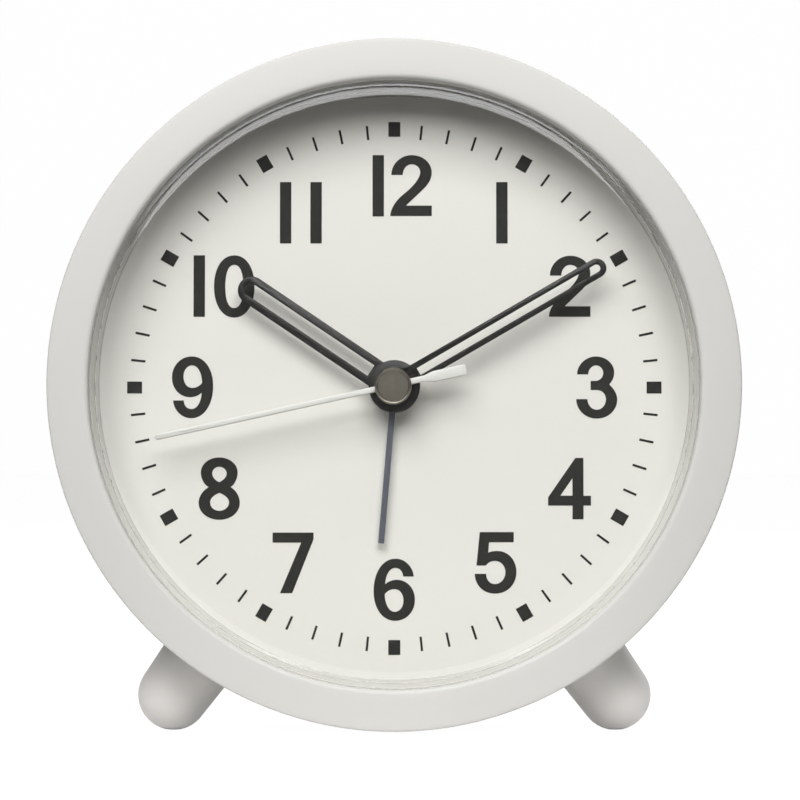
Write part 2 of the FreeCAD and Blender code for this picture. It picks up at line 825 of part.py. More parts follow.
def skeleton_hand(label, stem, angle):
    """A flat hand with an open blade, a round tip and a round hub."""
    layer = (f"{stem}_depth", f"{stem}_depth + hand_thick")
    through = (f"{stem}_depth - overcut", f"{stem}_depth + overcut")
    half, slot = f"{stem}_width / 2", f"{stem}_slot / 2"
    tip, slot_tip = f"{stem}_length - {half}", f"{stem}_length - slot_rim - {slot}"
    blade = block(label + "_bar", (f"-{half}", half), layer, (0, tip))
    end = rod(label + "_tip", half, *layer, z=tip)
    hub = rod(label + "_hub", "hub_radius", *layer)
    opening = block(label + "_slot", (f"-{slot}", slot), through, ("slot_start", slot_tip))
    opening_end = rod(label + "_slot_end", slot, *through, z=slot_tip)
    eye = rod(label + "_eye", f"{stem}_tube", *through)
    whole = fuse(label + "_whole", blade, end, hub)
    return node(label, cut(label + "_open", whole, opening, opening_end, eye), size(angle))


def alarm_hand():
    """A narrow pointer on a ring that grips the alarm wheel's tube."""
    hand = body("alarm_blade")
    back = "alarm_depth + hand_thick"
    half, root = "alarm_width / 2", "alarm_hub - blade_overlap"
    blade = outline(sketch(hand, "alarm_outline", "XZ_Plane", back), [
        (f"-{half}", root), (half, root), (half, "alarm_length"), (f"-{half}", "alarm_length")])
    pad(hand, blade, "hand_thick")
    hub = circle(circle(sketch(hand, "alarm_hub_disc", "XZ_Plane", back), "alarm_hub"), "alarm_tube")
    pad(hand, hub, "hand_thick")
    return node("alarm_hand", hand, size("alarm_angle"))


def second_hand():
    """A fine needle with a paddle tail and a boss that grips the seconds arbor."""
    hand = body("second_needle")
    back = "second_depth + hand_thick"
    right = [("needle_tip / 2", "needle_length"), ("needle_width / 2", 0), ("tail_width / 2", "-tail_neck"),
             ("paddle_width / 2", "-paddle_start"), ("paddle_width / 2", "-paddle_end")]
    left = [(f"-{x}", z) for x, z in reversed(right)]
    pad(hand, outline(sketch(hand, "second_outline", "XZ_Plane", back), right + left), "hand_thick")
    boss = sketch(hand, "second_boss_disc", "XZ_Plane", f"{back} + boss_rise")
    pad(hand, circle(boss, "second_boss"), "hand_thick + boss_rise")
    eye = sketch(hand, "second_eye", "XZ_Plane", "second_depth - knob_gap")
    pocket(hand, circle(eye, "arbor_radius"), "boss_rise + overcut")
    return node("second_hand", hand, size("second_angle"))


def second_cap():
    """The turned metal cap over the end of the seconds arbor."""
    cap = body("cap_turning")
    front, socket = "second_depth - cap_thick", "second_depth - cap_socket"
    revolve(cap, "cap_profile", [
        (0, front), ("cap_radius - cap_edge", front), ("cap_radius", f"{front} + cap_edge"),
        ("cap_radius", "second_depth"), ("arbor_radius", "second_depth"), ("arbor_radius", socket),
        (0, socket)])
    return node("second_cap", cap)


# ---------------------------------------------------------------- gear train


def second_wheel():
    """The wheel that turns once a minute, on the arbor that carries the seconds hand."""
    wheel = toothed("second_ring", "second_teeth", "fifth_leaves", "fifth_reach", TOOTH,
                    facing("second_teeth", 90), "second_layer", "thin_wheel")
    leaves = toothed("second_pinion", "second_leaves", "third_teeth", "third_reach", LEAF,
                     facing("second_leaves", -90), "third_layer - leaf_drop", "wheel_thick")
    arbor = rod("second_arbor", "arbor_radius", "second_depth - cap_socket", "housing_back - pivot_back")
    return node("second_wheel", fuse("second_train", wheel, leaves, arbor))


def third_wheel():
    wheel = toothed("third_ring", "third_teeth", "second_leaves", "third_reach", TOOTH, -90, "third_layer",
                    "thin_wheel", z=THIRD_Z)
    leaves = toothed("third_pinion", "third_leaves", "centre_teeth", "third_reach", LEAF,
                     facing("third_leaves", 90), "centre_layer - leaf_drop", "wheel_thick", z=THIRD_Z)
    arbor = rod("third_arbor", "pivot_radius", "movement_depth + pivot_front", "housing_back - pivot_back",
                z=THIRD_Z)
    return node("third_wheel", fuse("third_train", wheel, leaves, arbor))


def centre_wheel():
    """The wheel that grips the minute tube with a friction fit, so that the hands can be set."""
    wheel = toothed("centre_ring", "centre_teeth", "third_leaves", "third_reach", TOOTH, 90, "centre_layer",
                    "thin_wheel")
    span = ("centre_layer - overcut", "centre_layer + wheel_thick + overcut")
    bore = rod("centre_bore", "minute_tube + running_gap", *span)
    windows = []
    for angle in (0, 90, 180, 270):
        x, z = f"window_circle * cos({angle})", f"window_circle * sin({angle})"
        windows.append(rod(f"centre_window_{angle}", "window_radius", *span, x=x, z=z))
    return node("centre_wheel", cut("centre_bored", wheel, bore, *windows))


def fifth_wheel():
    wheel = toothed("fifth_ring", "fifth_teeth", "rotor_leaves", "rotor_reach", TOOTH, 0, "fifth_layer",
                    "fine_wheel", z=FIFTH_Z)
    leaves = toothed("fifth_pinion", "fifth_leaves", "second_teeth", "fifth_reach", LEAF, 90,
                     "second_layer - leaf_drop", "wheel_thick", z=FIFTH_Z)
    arbor = rod("fifth_arbor", "pivot_radius", "plate_depth + knob_gap", "housing_back - pivot_back",
                z=FIFTH_Z)
    return node("fifth_wheel", fuse("fifth_train", wheel, leaves, arbor))


def rotor():
    leaves = toothed("rotor_pinion", "rotor_leaves", "fifth_teeth", "rotor_reach", LEAF,
                     facing("rotor_leaves", 0), "fifth_layer - 2 * leaf_drop", "wheel_thick", x=ROTOR_X,
                     z=FIFTH_Z)
    arbor = rod("rotor_arbor", "pivot_radius", "plate_depth + knob_gap", "housing_back - pivot_back",
                x=ROTOR_X, z=FIFTH_Z)
    return node("rotor", fuse("rotor_whole", leaves, arbor))


def rotor_magnet():
    back = "magnet_depth + magnet_thick"
    drum = rod("magnet_drum", "magnet_radius", "magnet_depth", back, x=ROTOR_X, z=FIFTH_Z)
    eye = rod("magnet_eye", "pivot_radius", "magnet_depth - overcut", f"{back} + overcut", x=ROTOR_X,
              z=FIFTH_Z)
    return node("rotor_magnet", cut("magnet_ring", drum, eye))


def minute_tube():
    """The cannon pinion: a long tube for the minute hand with leaves that turn the motion work."""
    leaves = toothed("cannon_pinion", "cannon_leaves", "minute_teeth", "minute_reach", LEAF, 180,
                     "cannon_layer", "wheel_thick")
    tube = rod("cannon_tube", "minute_tube", "minute_depth - knob_gap", "plate_depth - 2 * knob_gap")
    bore = rod("cannon_bore", "minute_bore", "minute_depth - overcut", "plate_depth")
    return node("minute_tube", cut("cannon_bored", fuse("cannon_whole", leaves, tube), bore))


def minute_wheel():
    """Wheel and pinion of the motion work, on the arbor that the time knob turns."""
    wheel = toothed("minute_ring", "minute_teeth", "cannon_leaves", "minute_reach", TOOTH,
                    facing("minute_teeth", 0), "cannon_layer", "wheel_thick", x=MINUTE_X)
    leaves = toothed("minute_pinion", "minute_leaves", "hour_teeth", "minute_reach", LEAF, 0, "hour_layer",
                     "wheel_thick", x=MINUTE_X)
    arbor = rod("minute_arbor", "setting_arbor", "movement_depth + housing_wall + arbor_step",
                "knob_root + knob_socket - knob_gap", x=MINUTE_X)
    pivot = rod("minute_pivot", "pivot_radius", "movement_depth + pivot_front", "hour_layer", x=MINUTE_X)
    return node("minute_wheel", fuse("minute_train", wheel, leaves, arbor, pivot))


def hour_wheel():
    """The motion work's last wheel, whose tube carries the hour hand."""
    wheel = toothed("hour_ring", "hour_teeth", "minute_leaves", "minute_reach", TOOTH,
                    facing("hour_teeth", 0), "hour_layer", "wheel_thick")
    tube = rod("hour_sleeve", "hour_tube", "hour_depth - knob_gap", "hour_layer + sleeve_sink")
    bore = rod("hour_eye", "hour_bore", "hour_depth - overcut", "hour_layer + wheel_thick + overcut")
    return node("hour_wheel", cut("hour_bored", fuse("hour_whole", wheel, tube), bore))


def alarm_wheel():
    """The wheel that the alarm knob turns, whose tube carries the alarm hand."""
    wheel = toothed("alarm_ring", "alarm_teeth", "setting_leaves", "setting_reach", TOOTH,
                    facing("alarm_teeth", 180), "alarm_layer", "wheel_thick")
    tube = rod("alarm_sleeve", "alarm_tube", "alarm_depth - knob_gap", "alarm_layer + sleeve_sink")
    bore = rod("alarm_eye", "alarm_bore", "alarm_depth - overcut", "alarm_layer + wheel_thick + overcut")
    return node("alarm_wheel", cut("alarm_bored", fuse("alarm_whole", wheel, tube), bore))


def alarm_setting_pinion():
    leaves = toothed("setting_pinion", "setting_leaves", "alarm_teeth", "setting_reach", LEAF, 180,
                     "alarm_layer", "wheel_thick", x=SETTING_X)
    arbor = rod("setting_bar", "setting_arbor", "movement_depth + housing_wall + knob_gap",
                "knob_root + knob_socket - knob_gap", x=SETTING_X)
    pivot = rod("setting_pivot", "pivot_radius", "movement_depth + pivot_front", "alarm_layer", x=SETTING_X)
    return node("alarm_setting_pinion", fuse("setting_train", leaves, arbor, pivot))


# ---------------------------------------------------------------- movement housings and electronics


def arbor_hole(name, radius, start, end, x=0, z=0):
    return rod(name, f"{radius} + running_gap", start, end, x, z)


def movement_front_housing():
    """A tray behind the dial carrier, with the hands' tubes through it and an ear for each stake."""
    wall = "housing_wall"
    inner_front = "movement_depth + housing_wall"
    tray = block("front_tray", ("-movement_side", "movement_side"), ("movement_depth", "housing_split"),
                 ("-movement_base", "movement_top"))
    hollow = block("front_hollow", (f"-movement_side + {wall}", f"movement_side - {wall}"),
                   (inner_front, "housing_split + overcut"),
                   (f"-movement_base + {wall}", f"movement_top - {wall}"))
    ears, holes = [], []
    for side in (-1, 1):
        for level in (-1, 1):
            stem = f"{'left' if side < 0 else 'right'}_{'low' if level < 0 else 'high'}"
            x, z = f"{side} * ear_side", f"{level} * ear_height"
            ears.append(rod(f"ear_{stem}", "ear_radius", "movement_depth", inner_front, x, z))
            holes.append(rod(f"ear_hole_{stem}", "stake_radius", "movement_depth - overcut",
                             f"{inner_front} + overcut", x, z))
    through = ("movement_depth - overcut", inner_front)
    blind = ("movement_depth + pivot_front - knob_gap", inner_front)
    holes.append(rod("tube_hole", "alarm_tube + knob_gap", *through))
    holes.append(arbor_hole("third_front", "pivot_radius", *blind, z=THIRD_Z))
    holes.append(arbor_hole("minute_front", "pivot_radius", *blind, x=MINUTE_X))
    holes.append(arbor_hole("setting_front", "pivot_radius", *blind, x=SETTING_X))
    hollowed = cut("tray_hollowed", tray, hollow)
    return node("movement_front_housing", cut("tray_pierced", fuse("tray_eared", hollowed, *ears), *holes))


def middle_plate():
    """The bridge inside the box, bored for every arbor that runs through or stops in it."""
    edge = "(housing_wall + knob_gap)"
    plate = block("bridge", (f"-movement_side + {edge}", f"movement_side - {edge}"),
                  ("plate_depth", "plate_depth + plate_thick"),
                  (f"-movement_base + {edge}", f"movement_top - {edge}"))
    span = ("plate_depth - overcut", "plate_depth + plate_thick + overcut")
    holes = [
        arbor_hole("second_bridge", "arbor_radius", *span),
        arbor_hole("third_bridge", "pivot_radius", *span, z=THIRD_Z),
        arbor_hole("fifth_bridge", "pivot_radius", *span, z=FIFTH_Z),
        arbor_hole("rotor_bridge", "pivot_radius", *span, x=ROTOR_X, z=FIFTH_Z),
        arbor_hole("minute_bridge", "setting_arbor", *span, x=MINUTE_X),
        arbor_hole("setting_bridge", "setting_arbor", *span, x=SETTING_X),
    ]
    return node("middle_plate", cut("bridge_bored", plate, *holes))


def movement_rear_housing():
    """The back half of the movement's box, with the battery bay moulded below it."""
    wall = "housing_wall"
    tub = block("rear_tub", ("-movement_side", "movement_side"), ("housing_split", "housing_back"),
                ("-movement_base", "movement_top"))
    hollow = block("rear_hollow", (f"-movement_side + {wall}", f"movement_side - {wall}"),
                   ("housing_split - overcut", f"housing_back - {wall}"),
                   (f"-movement_base + {wall}", f"movement_top - {wall}"))
    bay = block("bay_box", ("-bay_side", "bay_side"), ("bay_front", "bay_back"),
                ("-bay_floor", "-movement_base"))
    drum = rod("bay_drum", "bay_round", "bay_front - overcut", "bay_back + overcut")
    common = DOC.addObject("Part::Common", "bay_rounded")
    common.Base, common.Tool = bay, drum
    ends = ("-bay_side + bay_wall", "bay_side - bay_wall")
    clear = "(cell_radius + bay_clearance)"
    trough = cross_rod("bay_trough", clear, *ends, y="cell_depth", z="-cell_height")
    mouth = block("bay_mouth", ends, ("cell_depth", "bay_back + overcut"),
                  (f"-cell_height - {clear}", f"-cell_height + {clear}"))
    back = (f"housing_back - {wall}", "housing_back + overcut")
    pivots = (f"housing_back - {wall} - knob_gap", "housing_back - pivot_back + knob_gap")
    holes = [
        arbor_hole("second_back", "arbor_radius", *pivots),
        arbor_hole("third_back", "pivot_radius", *pivots, z=THIRD_Z),
        arbor_hole("fifth_back", "pivot_radius", *pivots, z=FIFTH_Z),
        arbor_hole("rotor_back", "pivot_radius", *pivots, x=ROTOR_X, z=FIFTH_Z),
        rod("time_back", "knob_shaft + knob_gap", *back, x=MINUTE_X),
        rod("setting_back", "knob_shaft + knob_gap", *back, x=SETTING_X),
    ]
    shelves = []
    for word, level in (("low", "-shelf_level"), ("high", "shelf_level")):
        shelves.append(block(f"board_rest_{word}", ("-board_left", "-board_left + shelf_side"),
                             ("board_depth + board_thick", f"housing_back - {wall}"),
                             (level, f"{level} + shelf_height")))
    tub_open = fuse("tub_shelved", cut("tub_hollowed", tub, hollow), *shelves)
    whole = fuse("tub_with_bay", tub_open, common)
    return node("movement_rear_housing", cut("tub_pierced", whole, trough, mouth, *holes))


def movement_screws():
    """Two small screws that close the movement's box at its upper corners."""
    screws = []
    for side, word in ((-1, "left"), (1, "right")):
        x, z = f"{side} * (movement_side - box_screw_inset)", "movement_top - box_screw_inset"
        screws.append(rod(f"{word}_box_screw", "box_screw_head", "housing_back",
                          "housing_back + box_screw_cap", x, z))
    return node("movement_screws", group("box_screw_pair", *screws))


def stator():
    """The motor's thin iron loop: a strip round the rotor, two legs, and the core inside the coil."""
    layer = ("stator_depth", "stator_depth + stator_thick")
    top, bottom = f"{FIFTH_Z} + stator_reach", f"{FIFTH_Z} - stator_reach"
    half = "stator_leg / 2"
    strip = block("stator_bar", (f"{ROTOR_X} - stator_strip / 2", f"{ROTOR_X} + stator_strip / 2"), layer,
                  (f"{bottom} - {half}", f"{top} + {half}"))
    ring = rod("stator_round", "stator_ring", *layer, x=ROTOR_X, z=FIFTH_Z)
    legs = [block(f"stator_{word}", (ROTOR_X, f"{COIL_X} + stator_end"), layer,
                  (f"{level} - {half}", f"{level} + {half}"))
            for word, level in (("head", top), ("foot", bottom))]
    core = block("stator_core", (f"{COIL_X} - coil_core / 2", f"{COIL_X} + coil_core / 2"), layer,
                 (bottom, top))
    hole = rod("stator_eye", "stator_hole", "stator_depth - overcut", "stator_depth + stator_thick + overcut",
               x=ROTOR_X, z=FIFTH_Z)
    return node("stator", cut("stator_bored", fuse("stator_whole", strip, ring, *legs, core), hole))


def coil():
    """The bobbin on the stator's core, and the winding between its flanges."""
    centre = "stator_depth + stator_thick / 2"
    reach = "(stator_reach - stator_leg / 2 - knob_gap)"
    low, high = f"{FIFTH_Z} - {reach}", f"{FIFTH_Z} + {reach}"
    barrel = upright_rod("bobbin_barrel", "coil_barrel", low, high, COIL_X, centre)
    flanges = [upright_rod("bobbin_foot", "coil_flange", low, f"{low} + coil_cheek", COIL_X, centre),
               upright_rod("bobbin_head", "coil_flange", f"{high} - coil_cheek", high, COIL_X, centre)]
    bore = block("bobbin_bore", (f"{COIL_X} - coil_core / 2", f"{COIL_X} + coil_core / 2"),
                 ("stator_depth", "stator_depth + stator_thick"), (f"{low} - overcut", f"{high} + overcut"))
    node("coil_bobbin", cut("bobbin_bored", fuse("bobbin_blank", barrel, *flanges), bore))
    wound = upright_rod("winding_drum", "coil_radius", f"{low} + coil_cheek", f"{high} - coil_cheek", COIL_X,
                        centre)
    eye = upright_rod("winding_eye", "coil_barrel", low, high, COIL_X, centre)
    node("coil_winding", cut("winding_ring", wound, eye))


def electronics():
    """The circuit board, the potted chip and the crystal on its front, and the sounder behind the cover."""
    board = block("board_plate", ("-board_left", "-board_right"),
                  ("board_depth", "board_depth + board_thick"),
                  ("-board_base", "board_height - board_base"))
    node("circuit_board", group("board_alone", board))
    middle = "-(board_left + board_right) / 2"
    blob = DOC.addObject("Part::Cone", "blob_dome")
    blob.Placement = Placement(Vector(), Rotation(Vector(1, 0, 0), 90))
    bind(blob, Radius1="blob_radius", Radius2="blob_crown", Height="blob_rise", Base__x=middle,
         Base__y="board_depth", Base__z="-blob_drop")
    node("chip_blob", group("blob_alone", blob))
    can = upright_rod("crystal_can", "crystal_radius", "crystal_base", "crystal_base + crystal_length",
                      middle, "board_depth - crystal_radius")
    node("quartz_crystal", group("crystal_alone", can))
    piezo_back = "cover_depth - cover_plate - piezo_gap"
    plate = rod("piezo_plate", "piezo_radius", f"{piezo_back} - piezo_thick", piezo_back, z="sound_height")
    node("piezo_disc", group("piezo_alone", plate))


def battery():
    """The cell, a flat contact at its tip and a folded leaf at its base."""
    half = "cell_length / 2"
    can = cross_rod("cell_can", "cell_radius", f"-{half}", half, "cell_depth", "-cell_height")
    tip = cross_rod("cell_nub", "cell_tip", half, f"{half} + cell_tip_length", "cell_depth", "-cell_height")
    node("battery_cell", fuse("cell_whole", can, tip))
    depths = ("cell_depth - contact_front", "cell_depth + contact_back")
    face = ("-cell_height - contact_side", "-cell_height + contact_side")
    narrow = ("-cell_height - tongue_side", "-cell_height + tongue_side")
    nub_end = f"{half} + cell_tip_length"
    plus = block("plus_leaf", (nub_end, f"{nub_end} + contact_thick"), depths, face)
    node("positive_contact", group("plus_alone", plus))
    wall, cell_foot = "-bay_side + bay_wall", f"-{half}"
    back = block("minus_plate", (wall, f"{wall} + contact_thick"), depths, face)
    bent = block("minus_bend", (wall, f"{cell_foot} - contact_thick"),
                 ("cell_depth + contact_back - contact_thick", "cell_depth + contact_back"), narrow)
    tongue = block("minus_tongue", (f"{cell_foot} - contact_thick", cell_foot),
                   ("cell_depth - tongue_front", "cell_depth + contact_back"), narrow)
    node("negative_contact", fuse("minus_leaf", back, bent, tongue))


def alarm_contact_spring():
    """The leaf that the alarm wheel lets drop when the set time comes."""
    back = "spring_depth + spring_thick"
    width = ("spring_base", "spring_base + spring_width")
    leaf = block("leaf_blade", ("-spring_outer", "-spring_inner"), ("spring_depth", back), width)
    foot_pad = block("leaf_foot", ("-spring_foot", "-spring_outer + spring_thick"),
                     ("movement_depth + housing_wall", back), width)
    return node("alarm_contact_spring", fuse("leaf_whole", leaf, foot_pad))


# ---------------------------------------------------------------- stance, checks and files


def stance():
    """The lean, and the lift that stands the feet's round ends on the floor."""
    lean = math.radians(size("lean"))
    reach, angle = size("foot_reach"), math.radians(size("foot_angle"))
    ball_drop = reach * math.cos(angle) * math.cos(lean) + size("foot_depth") * math.sin(lean)
    place = Vector(0, -size("origin_depth"), ball_drop + size("foot_ball"))
    return Placement(place, Rotation(Vector(1, 0, 0), -size("lean")))


def build():
    for side, word in FEET:
        foot(side, word)
    front_case()
    foot_screws()
    lens()
    dial()
    dial_carrier()
    rear_cover()
    case_screws()
    battery_door()
    alarm_switch()
    knob("time_knob", MINUTE_X)
    knob("alarm_knob", SETTING_X)
    skeleton_hand("minute_hand", "minute", "minute_angle")
    skeleton_hand("hour_hand", "hour", "hour_angle")
    alarm_hand()
    second_hand()
    second_cap()
    for wheel in (second_wheel, third_wheel, centre_wheel, fifth_wheel, rotor, rotor_magnet, minute_tube,
                  minute_wheel, hour_wheel, alarm_wheel, alarm_setting_pinion):
        wheel()
    movement_front_housing()
    middle_plate()
    movement_rear_housing()
    movement_screws()
    stator()
    coil()
    electronics()
    battery()
    alarm_contact_spring()


def write():
    """Stand every sub-part in its place, check it, and write one file for each."""
    for part, turn in NODES.values():
        part.Placement = stance().multiply(Placement(Vector(), Rotation(Vector(0, 1, 0), turn)))
    DOC.recompute()
    failed = [item.Label for item in DOC.Objects if {"Invalid", "Error"} & set(item.State)]
    failed += [label for label, (part, _) in NODES.items() if part.Shape.isNull() or not part.Shape.isValid()]
    if failed:
        raise SystemExit(f"not built: {', '.join(failed)}")
    os.makedirs("parts", exist_ok=True)
    for label, (part, _) in NODES.items():
        part.Shape.exportStep(f"parts/{label}.step")
    whole = Part.makeCompound([part.Shape for part, _ in NODES.values()]).BoundBox
    print(f"{len(NODES)} sub-parts in {whole}")


build()
write()
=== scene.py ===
"""Looks of a round quartz alarm clock: matte case on two peg feet, clear lens, printed dial, open hands."""

import math

import bpy
from mathutils import Matrix, Vector


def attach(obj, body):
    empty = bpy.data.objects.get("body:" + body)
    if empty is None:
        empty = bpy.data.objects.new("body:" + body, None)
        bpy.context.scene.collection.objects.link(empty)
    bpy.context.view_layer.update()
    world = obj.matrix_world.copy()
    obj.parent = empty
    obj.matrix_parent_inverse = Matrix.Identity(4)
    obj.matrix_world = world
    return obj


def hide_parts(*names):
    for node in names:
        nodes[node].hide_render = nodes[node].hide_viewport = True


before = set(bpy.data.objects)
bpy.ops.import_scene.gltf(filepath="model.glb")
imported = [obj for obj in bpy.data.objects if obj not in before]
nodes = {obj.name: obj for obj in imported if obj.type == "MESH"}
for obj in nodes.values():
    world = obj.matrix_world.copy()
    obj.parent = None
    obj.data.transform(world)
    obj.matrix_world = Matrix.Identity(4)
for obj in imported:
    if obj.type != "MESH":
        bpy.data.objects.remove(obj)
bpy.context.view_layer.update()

# ---------------------------------------------------------------- front case
# The front shell is one moulding of light warm grey ABS: a broad bezel with a gentle crown, a soft inner
# edge, and a side that narrows towards the back. The mould was spark eroded, which leaves a fine dull grain.

# The clock is drawn upright, in millimetres, with the hands' axis along Y and the bezel's front at depth 0.
LEAN = math.radians(4.0)
AXIS_DEPTH = -0.02112
AXIS_HEIGHT = 0.0508113
MILLIMETRE = 0.001
CLOCK = Matrix.Translation((0, AXIS_DEPTH, AXIS_HEIGHT)) @ Matrix.Rotation(-LEAN, 4, "X")
FINE_SIDES = 240
SMOOTH_UNDER = 35.0

# Every profile of a round piece lists its rings as (radius, depth).
BORE_EDGE, BORE_ROUND = (44.2, 0.06), 0.6
RIM_EDGE, RIM_ROUND = (50.2, 0.63), 0.24
SHELL_PROFILE = [
    (44.2, 1.0), BORE_EDGE, (44.9, 0.0), (45.5, 0.03), (46.2, 0.085), (46.9, 0.155), (47.6, 0.235),
    (48.3, 0.325), (49.0, 0.42), (49.6, 0.515), RIM_EDGE, (50.14, 1.6), (48.5, 30.0), (46.5, 30.0),
    (45.6, 8.0), (44.2, 8.0), (44.2, 1.0),
]


def edit(piece):
    """Opens one piece in edit mode with nothing else selected."""
    bpy.ops.object.select_all(action="DESELECT")
    bpy.context.view_layer.objects.active = piece
    piece.select_set(True)
    bpy.ops.object.mode_set(mode="EDIT")


def turned(name, rings, sides=FINE_SIDES):
    """A round piece about the hands' axis: a circle extruded from ring to ring, each a radius and a depth."""
    bpy.ops.object.select_all(action="DESELECT")
    bpy.ops.mesh.primitive_circle_add(vertices=sides, radius=rings[0][0], location=(0, rings[0][1], 0),
                                      rotation=(math.pi / 2, 0, 0))
    piece = bpy.context.object
    piece.name = name
    bpy.ops.object.transform_apply(location=True, rotation=True, scale=True)
    edit(piece)
    bpy.ops.mesh.select_all(action="SELECT")
    for (radius, depth), (next_radius, next_depth) in zip(rings, rings[1:]):
        bpy.ops.mesh.extrude_edges_move(TRANSFORM_OT_translate={"value": (0, next_depth - depth, 0)})
        grow = next_radius / radius
        bpy.ops.transform.resize(value=(grow, 1, grow), center_override=(0, next_depth, 0))
    bpy.ops.mesh.select_all(action="SELECT")
    bpy.ops.mesh.remove_doubles(threshold=0.001)
    bpy.ops.mesh.fill_holes(sides=0)
    bpy.ops.mesh.select_all(action="SELECT")
    bpy.ops.mesh.normals_make_consistent(inside=False)
    bpy.ops.object.mode_set(mode="OBJECT")
    return piece


def round_rings(piece, places, width, segments=4):
    """Rounds a turned piece's sharp rings, each given by its radius and depth."""
    edit(piece)
    bpy.ops.mesh.select_mode(type="EDGE")
    bpy.ops.mesh.select_all(action="DESELECT")
    bpy.ops.object.mode_set(mode="OBJECT")
    points = [v.co for v in piece.data.vertices]

    def on_ring(point, radius, depth):
        return abs(math.hypot(point.x, point.z) - radius) < 0.01 and abs(point.y - depth) < 0.01

    for edge in piece.data.edges:
        first, second = (points[i] for i in edge.vertices)
        edge.select = any(on_ring(first, *place) and on_ring(second, *place) for place in places)
    bpy.ops.object.mode_set(mode="EDIT")
    bpy.ops.mesh.bevel(offset=width, segments=segments, profile=0.5, affect="EDGES")
    bpy.ops.object.mode_set(mode="OBJECT")


def seat(piece, body, material, slot=None, replaced=()):
    """Smooths a finished piece, gives it its material, and sets it on its body."""
    bpy.ops.object.select_all(action="DESELECT")
    bpy.context.view_layer.objects.active = piece
    piece.select_set(True)
    bpy.ops.object.shade_smooth_by_angle(angle=math.radians(SMOOTH_UNDER))
    piece.data.materials.clear()
    piece.data.materials.append(material)
    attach(piece, body)
    if replaced:
        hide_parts(*replaced)


def stand(piece, *seating, **more):
    """Puts a piece that is drawn upright in millimetres where the clock stands, and seats it."""
    piece.data.transform(CLOCK @ Matrix.Scale(MILLIMETRE, 4))
    seat(piece, *seating, **more)


def linear(colour):
    """An sRGB hex colour as the linear RGBA that a shader takes."""
    channels = [int(colour[i:i + 2], 16) / 255 for i in (1, 3, 5)]
    return [c / 12.92 if c <= 0.04045 else ((c + 0.055) / 1.055) ** 2.4 for c in channels] + [1.0]


def add(material, kind, inputs=None, **settings):
    """Adds a node to a material or to the world; inputs holds each socket's value or the output it takes."""
    node = material.node_tree.nodes.new(kind)
    for setting, value in settings.items():
        setattr(node, setting, value)
    for socket, value in (inputs or {}).items():
        if isinstance(value, bpy.types.NodeSocket):
            material.node_tree.links.new(value, node.inputs[socket])
        else:
            node.inputs[socket].default_value = value
    return node


def finish(name, colour, roughness, metallic=0.0, ior=1.5, **more):
    """A material with its one shader; more holds other sockets of it."""
    material = bpy.data.materials.new(name)
    material.use_nodes = True
    shader = material.node_tree.nodes["Principled BSDF"]
    shader.inputs["Base Color"].default_value = linear(colour)
    shader.inputs["Roughness"].default_value = roughness
    shader.inputs["Metallic"].default_value = metallic
    shader.inputs["IOR"].default_value = ior
    for socket, value in more.items():
        shader.inputs[socket.replace("_", " ")].default_value = value
    return material, shader


# A colour mix takes its two colours at these sockets and gives its result at this output.
MIX_LOW, MIX_HIGH, MIX_RESULT = 6, 7, 2


def tint(material, shader, low, high, scale):
    """Lets the colour drift between two near shades, in patches of 1/scale metres."""
    place = add(material, "ShaderNodeTexCoord")
    cloud = add(material, "ShaderNodeTexNoise",
                {"Vector": place.outputs["Object"], "Scale": scale, "Detail": 3.0})
    shade = add(material, "ShaderNodeMix",
                {"Factor": cloud.outputs["Fac"], MIX_LOW: linear(low), MIX_HIGH: linear(high)},
                data_type="RGBA")
    material.node_tree.links.new(shade.outputs[MIX_RESULT], shader.inputs["Base Color"])
    return place


def grain(material, shader, place, size, height, roughness=None):
    """A fine random grain of one size in metres, as a bump and, if asked, as a change of roughness."""
    noise = add(material, "ShaderNodeTexNoise",
                {"Vector": place.outputs["Object"], "Scale": 1 / size, "Detail": 2.0})
    bump = add(material, "ShaderNodeBump",
               {"Strength": 1.0, "Distance": height, "Height": noise.outputs["Fac"]})
    material.node_tree.links.new(bump.outputs["Normal"], shader.inputs["Normal"])
    if roughness:
        spread = add(material, "ShaderNodeMapRange",
                     {"Value": noise.outputs["Fac"], "To Min": roughness[0], "To Max": roughness[1]})
        material.node_tree.links.new(spread.outputs["Result"], shader.inputs["Roughness"])


# ABS, moulded with an eroded texture of about 0.2 mm: dull, with a broad weak sheen and no sharp reflection.
grey_abs, shader = finish("abs_eroded_warm_grey", "#D3D2CE", 0.55, ior=1.53)
grain(grey_abs, shader, tint(grey_abs, shader, "#D2D1CC", "#D5D4D0", 60), 0.00022, 0.000004, (0.5, 0.6))

shell = turned("front_shell", SHELL_PROFILE)
round_rings(shell, [BORE_EDGE], BORE_ROUND)
round_rings(shell, [RIM_EDGE], RIM_ROUND)
stand(shell, "case", grey_abs, "case_white", replaced=["front_case"])

# ---------------------------------------------------------------- lens
# The lens is a shallow cup of clear acrylic: a flat window, a skirt that reaches back to the dial, and a
# flange behind the bezel. It was moulded and polished, so its edges gleam and its rim shows as pale bands.

SHOULDER = {"start": 41.5, "end": 43.12, "radius": 4.35, "steps": 12}
LENS_FRONT = 1.2
LENS_PLUG = 44.1
SKIRT_INSIDE = 42.6
SKIRT_LIP, LIP_ROUND = (SKIRT_INSIDE, 2.8), 0.1
SKIRT_PASSES = 0.88
TRAPS_FROM, TRAPS_FULLY = 42.4, 42.8

